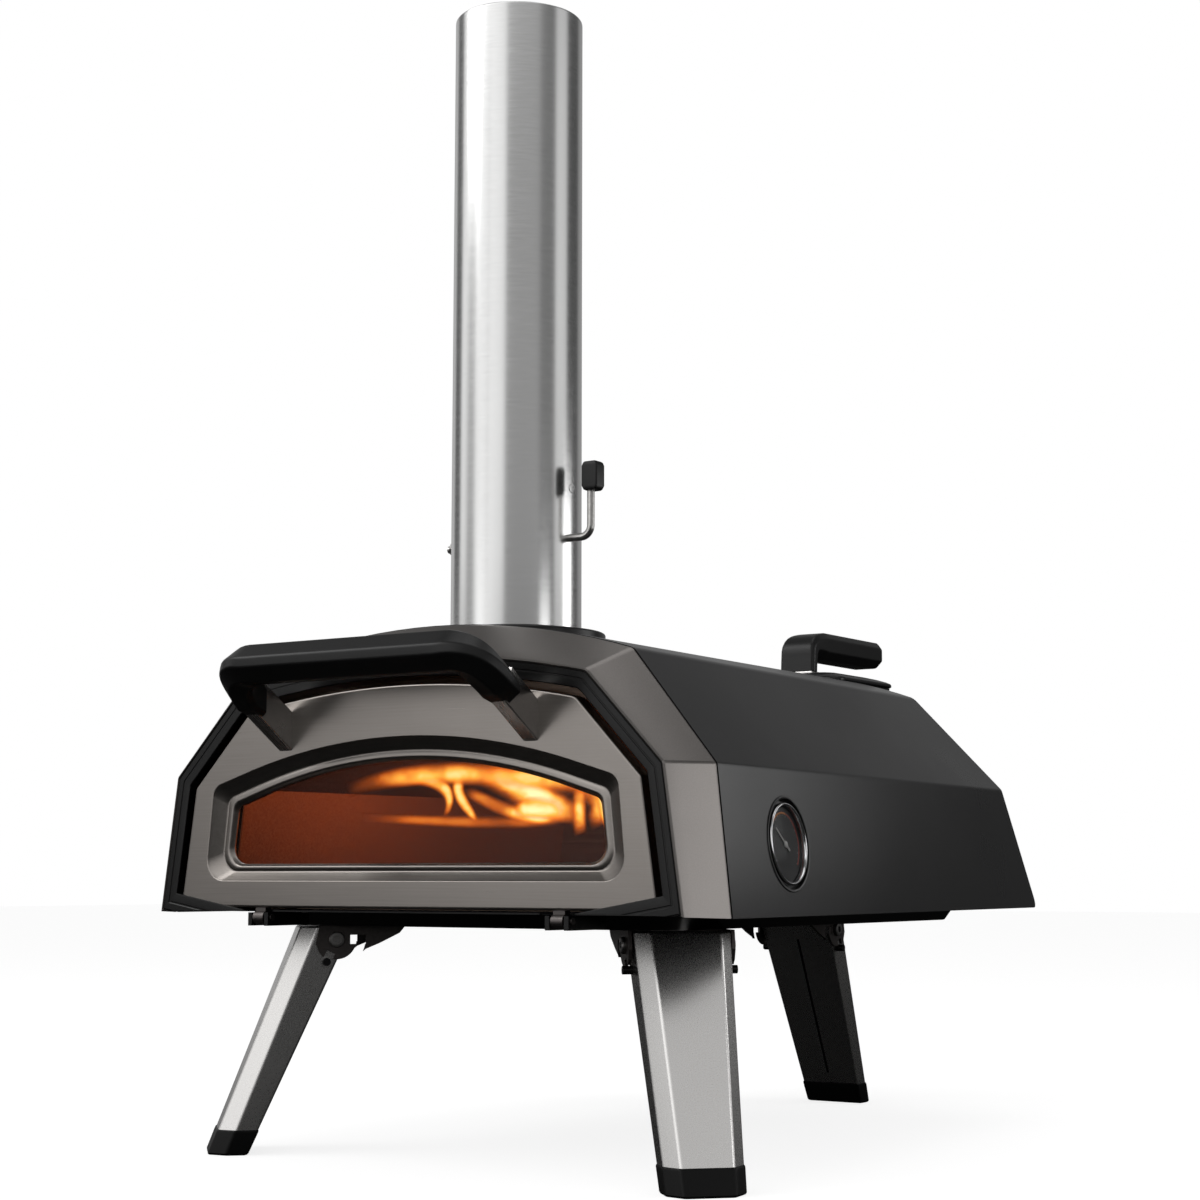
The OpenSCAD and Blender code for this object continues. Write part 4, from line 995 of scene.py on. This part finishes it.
FLAMES = (
    (((-96, 64, 228), (-40, 64, 243), (30, 64, 237), (108, 64, 222)), (5, 10, 6), 0.8),
    (((-60, 66, 236), (-26, 66, 238), (-6, 66, 226), (-20, 66, 210)), (5, 7, 2), 0.9),
    (((-8, 68, 236), (-16, 68, 224), (-2, 68, 216), (5, 68, 206)), (5, 6, 2), 0.9),
    (((0, 70, 239), (34, 70, 230), (50, 70, 216), (84, 70, 210)), (8, 14, 7), 1.2),
    (((-8, 72, 226), (16, 72, 218), (34, 72, 205), (70, 72, 211)), (4, 6, 5), 1.0),
    (((62, 74, 234), (88, 74, 230), (100, 74, 214), (82, 74, 206)), (8, 12, 6), 1.15),
    (((86, 58, 226), (88, 58, 216), (85, 58, 208), (88, 58, 198)), (5, 6, 5), 1.3),
    (((98, 60, 228), (104, 60, 218), (103, 60, 210), (106, 60, 202)), (4, 7, 3), 1.1),
    (((-96, 80, 211), (-30, 80, 208), (20, 80, 205), (60, 80, 208)), (3, 5, 4), 0.4),
    (((36, 62, 212), (50, 62, 218), (62, 62, 212), (76, 62, 214)), (5, 10, 5), 1.3),
)
for i, (points, widths, heat) in enumerate(FLAMES):
    flame("flame_%d" % i, points, widths, heat)


# ---------------- light
def light(name, kind, at, power):
    data = bpy.data.lights.new(name, kind)
    data.energy = power
    obj = bpy.data.objects.new(name, data)
    obj.location = at
    scene.collection.objects.link(obj)
    return obj


def area(name, at, toward, size, power):
    """A soft box that the camera doesn't see."""
    obj = light(name, "AREA", at, power)
    obj.data.size = size
    obj.rotation_euler = (Vector(toward) - Vector(at)).to_track_quat("-Z", "Y").to_euler()
    obj.visible_camera = False


def ember(name, at, power, colour, radius):
    """Firelight inside the oven."""
    obj = light(name, "POINT", P(*at), power)
    obj.data.color = colour
    obj.data.shadow_soft_size = radius


area("key", (-1.6, -1.4, 1.9), (0, 0, 0.25), 1.2, 14)
area("top", (0.2, 0.2, 2.4), (0, 0, 0.2), 1.6, 7)
area("card_right_front", (0.8, -0.22, 0.3), (0.2, -0.26, 0.22), 0.26, 0.35)
area("card_right_back", (0.6, 0.45, 0.4), (0.2, -0.15, 0.25), 0.3, 0.6)
ember("fire_rear", (40, 300, 215), 0.6, (1.0, 0.2, 0.05), 0.03)
ember("fire_front", (50, 90, 225), 0.15, (1.0, 0.28, 0.07), 0.02)

# ---------------- studio
# soft boxes round the oven with dark flags between them, in three bands of height under a dark ceiling.
# Each band is (degrees round from the front, brightness). The camera sees white instead.
LOW_BAND = ((-180, 0.12), (-125, 0.4), (-100, 0.6), (-80, 0.3), (-52, 0.12), (-43, 0.4), (-34, 2.3), (-15, 1.1),
            (2, 0.5), (12, 0.22), (72, 0.2), (84, 0.2), (105, 0.16), (140, 0.1), (165, 0.1), (180, 0.12))
MID_BAND = ((-180, 0.3), (-148, 0.4), (-108, 0.55), (-104, 0.1), (-84, 0.1), (-80, 1.0), (-66, 0.9), (-60, 0.45),
            (-47, 0.45), (-42, 1.0), (-22, 1.0), (-18, 0.8), (-14, 1.05), (13, 1.0), (15, 0.34), (73, 0.36),
            (78, 0.2), (104, 0.18), (108, 0.8), (132, 0.7), (136, 0.08), (168, 0.08), (176, 0.3))
HIGH_BAND = ((-180, 0.2), (-110, 0.3), (-72, 0.4), (-39, 0.3), (-31, 2.2), (-10, 1.3), (40, 0.75), (70, 0.6),
             (95, 0.14), (180, 0.16))
CEILING, WHITE = (0.14, 0.14, 0.14, 1), (1, 1, 1, 1)
world = bpy.data.worlds.new("studio")
scene.world = world
world.use_nodes = True
background = world.node_tree.nodes["Background"]
direction = node(world, "ShaderNodeTexCoord")
parts = node(world, "ShaderNodeSeparateXYZ", i0=(direction, "Generated"))
back = node(world, "ShaderNodeMath", operation="MULTIPLY", i0=(parts, "Y"), i1=-1.0)
compass = node(world, "ShaderNodeMath", operation="ARCTAN2", i0=(parts, "X"), i1=(back, 0))
turn = node(world, "ShaderNodeMath", operation="MULTIPLY_ADD", i0=(compass, 0), i1=1 / (2 * math.pi), i2=0.5)


def band(stops):
    return ramp(world, turn, 0, [(degrees * (1 / 360) + 0.5, level) for degrees, level in stops])


def over(height, low, high, below, above):
    """Fades from one colour to another between two heights."""
    share = node(world, "ShaderNodeMapRange", i0=(height, "Z"), i1=low, i2=high)
    return node(world, "ShaderNodeMixRGB", i0=(share, 0), i1=(below, 0), i2=above)


lower = over(parts, 0.04, 0.12, band(LOW_BAND), (band(MID_BAND), 0))
studio = over(parts, 0.36, 0.52, lower, (band(HIGH_BAND), 0))
ceiling = over(parts, 0.66, 0.77, studio, CEILING)
seen = node(world, "ShaderNodeLightPath")
shown = node(world, "ShaderNodeMixRGB", i0=(seen, "Is Camera Ray"), i1=(ceiling, 0), i2=WHITE)
link(world, shown, 0, background, "Color")
background.inputs["Strength"].default_value = 1.0
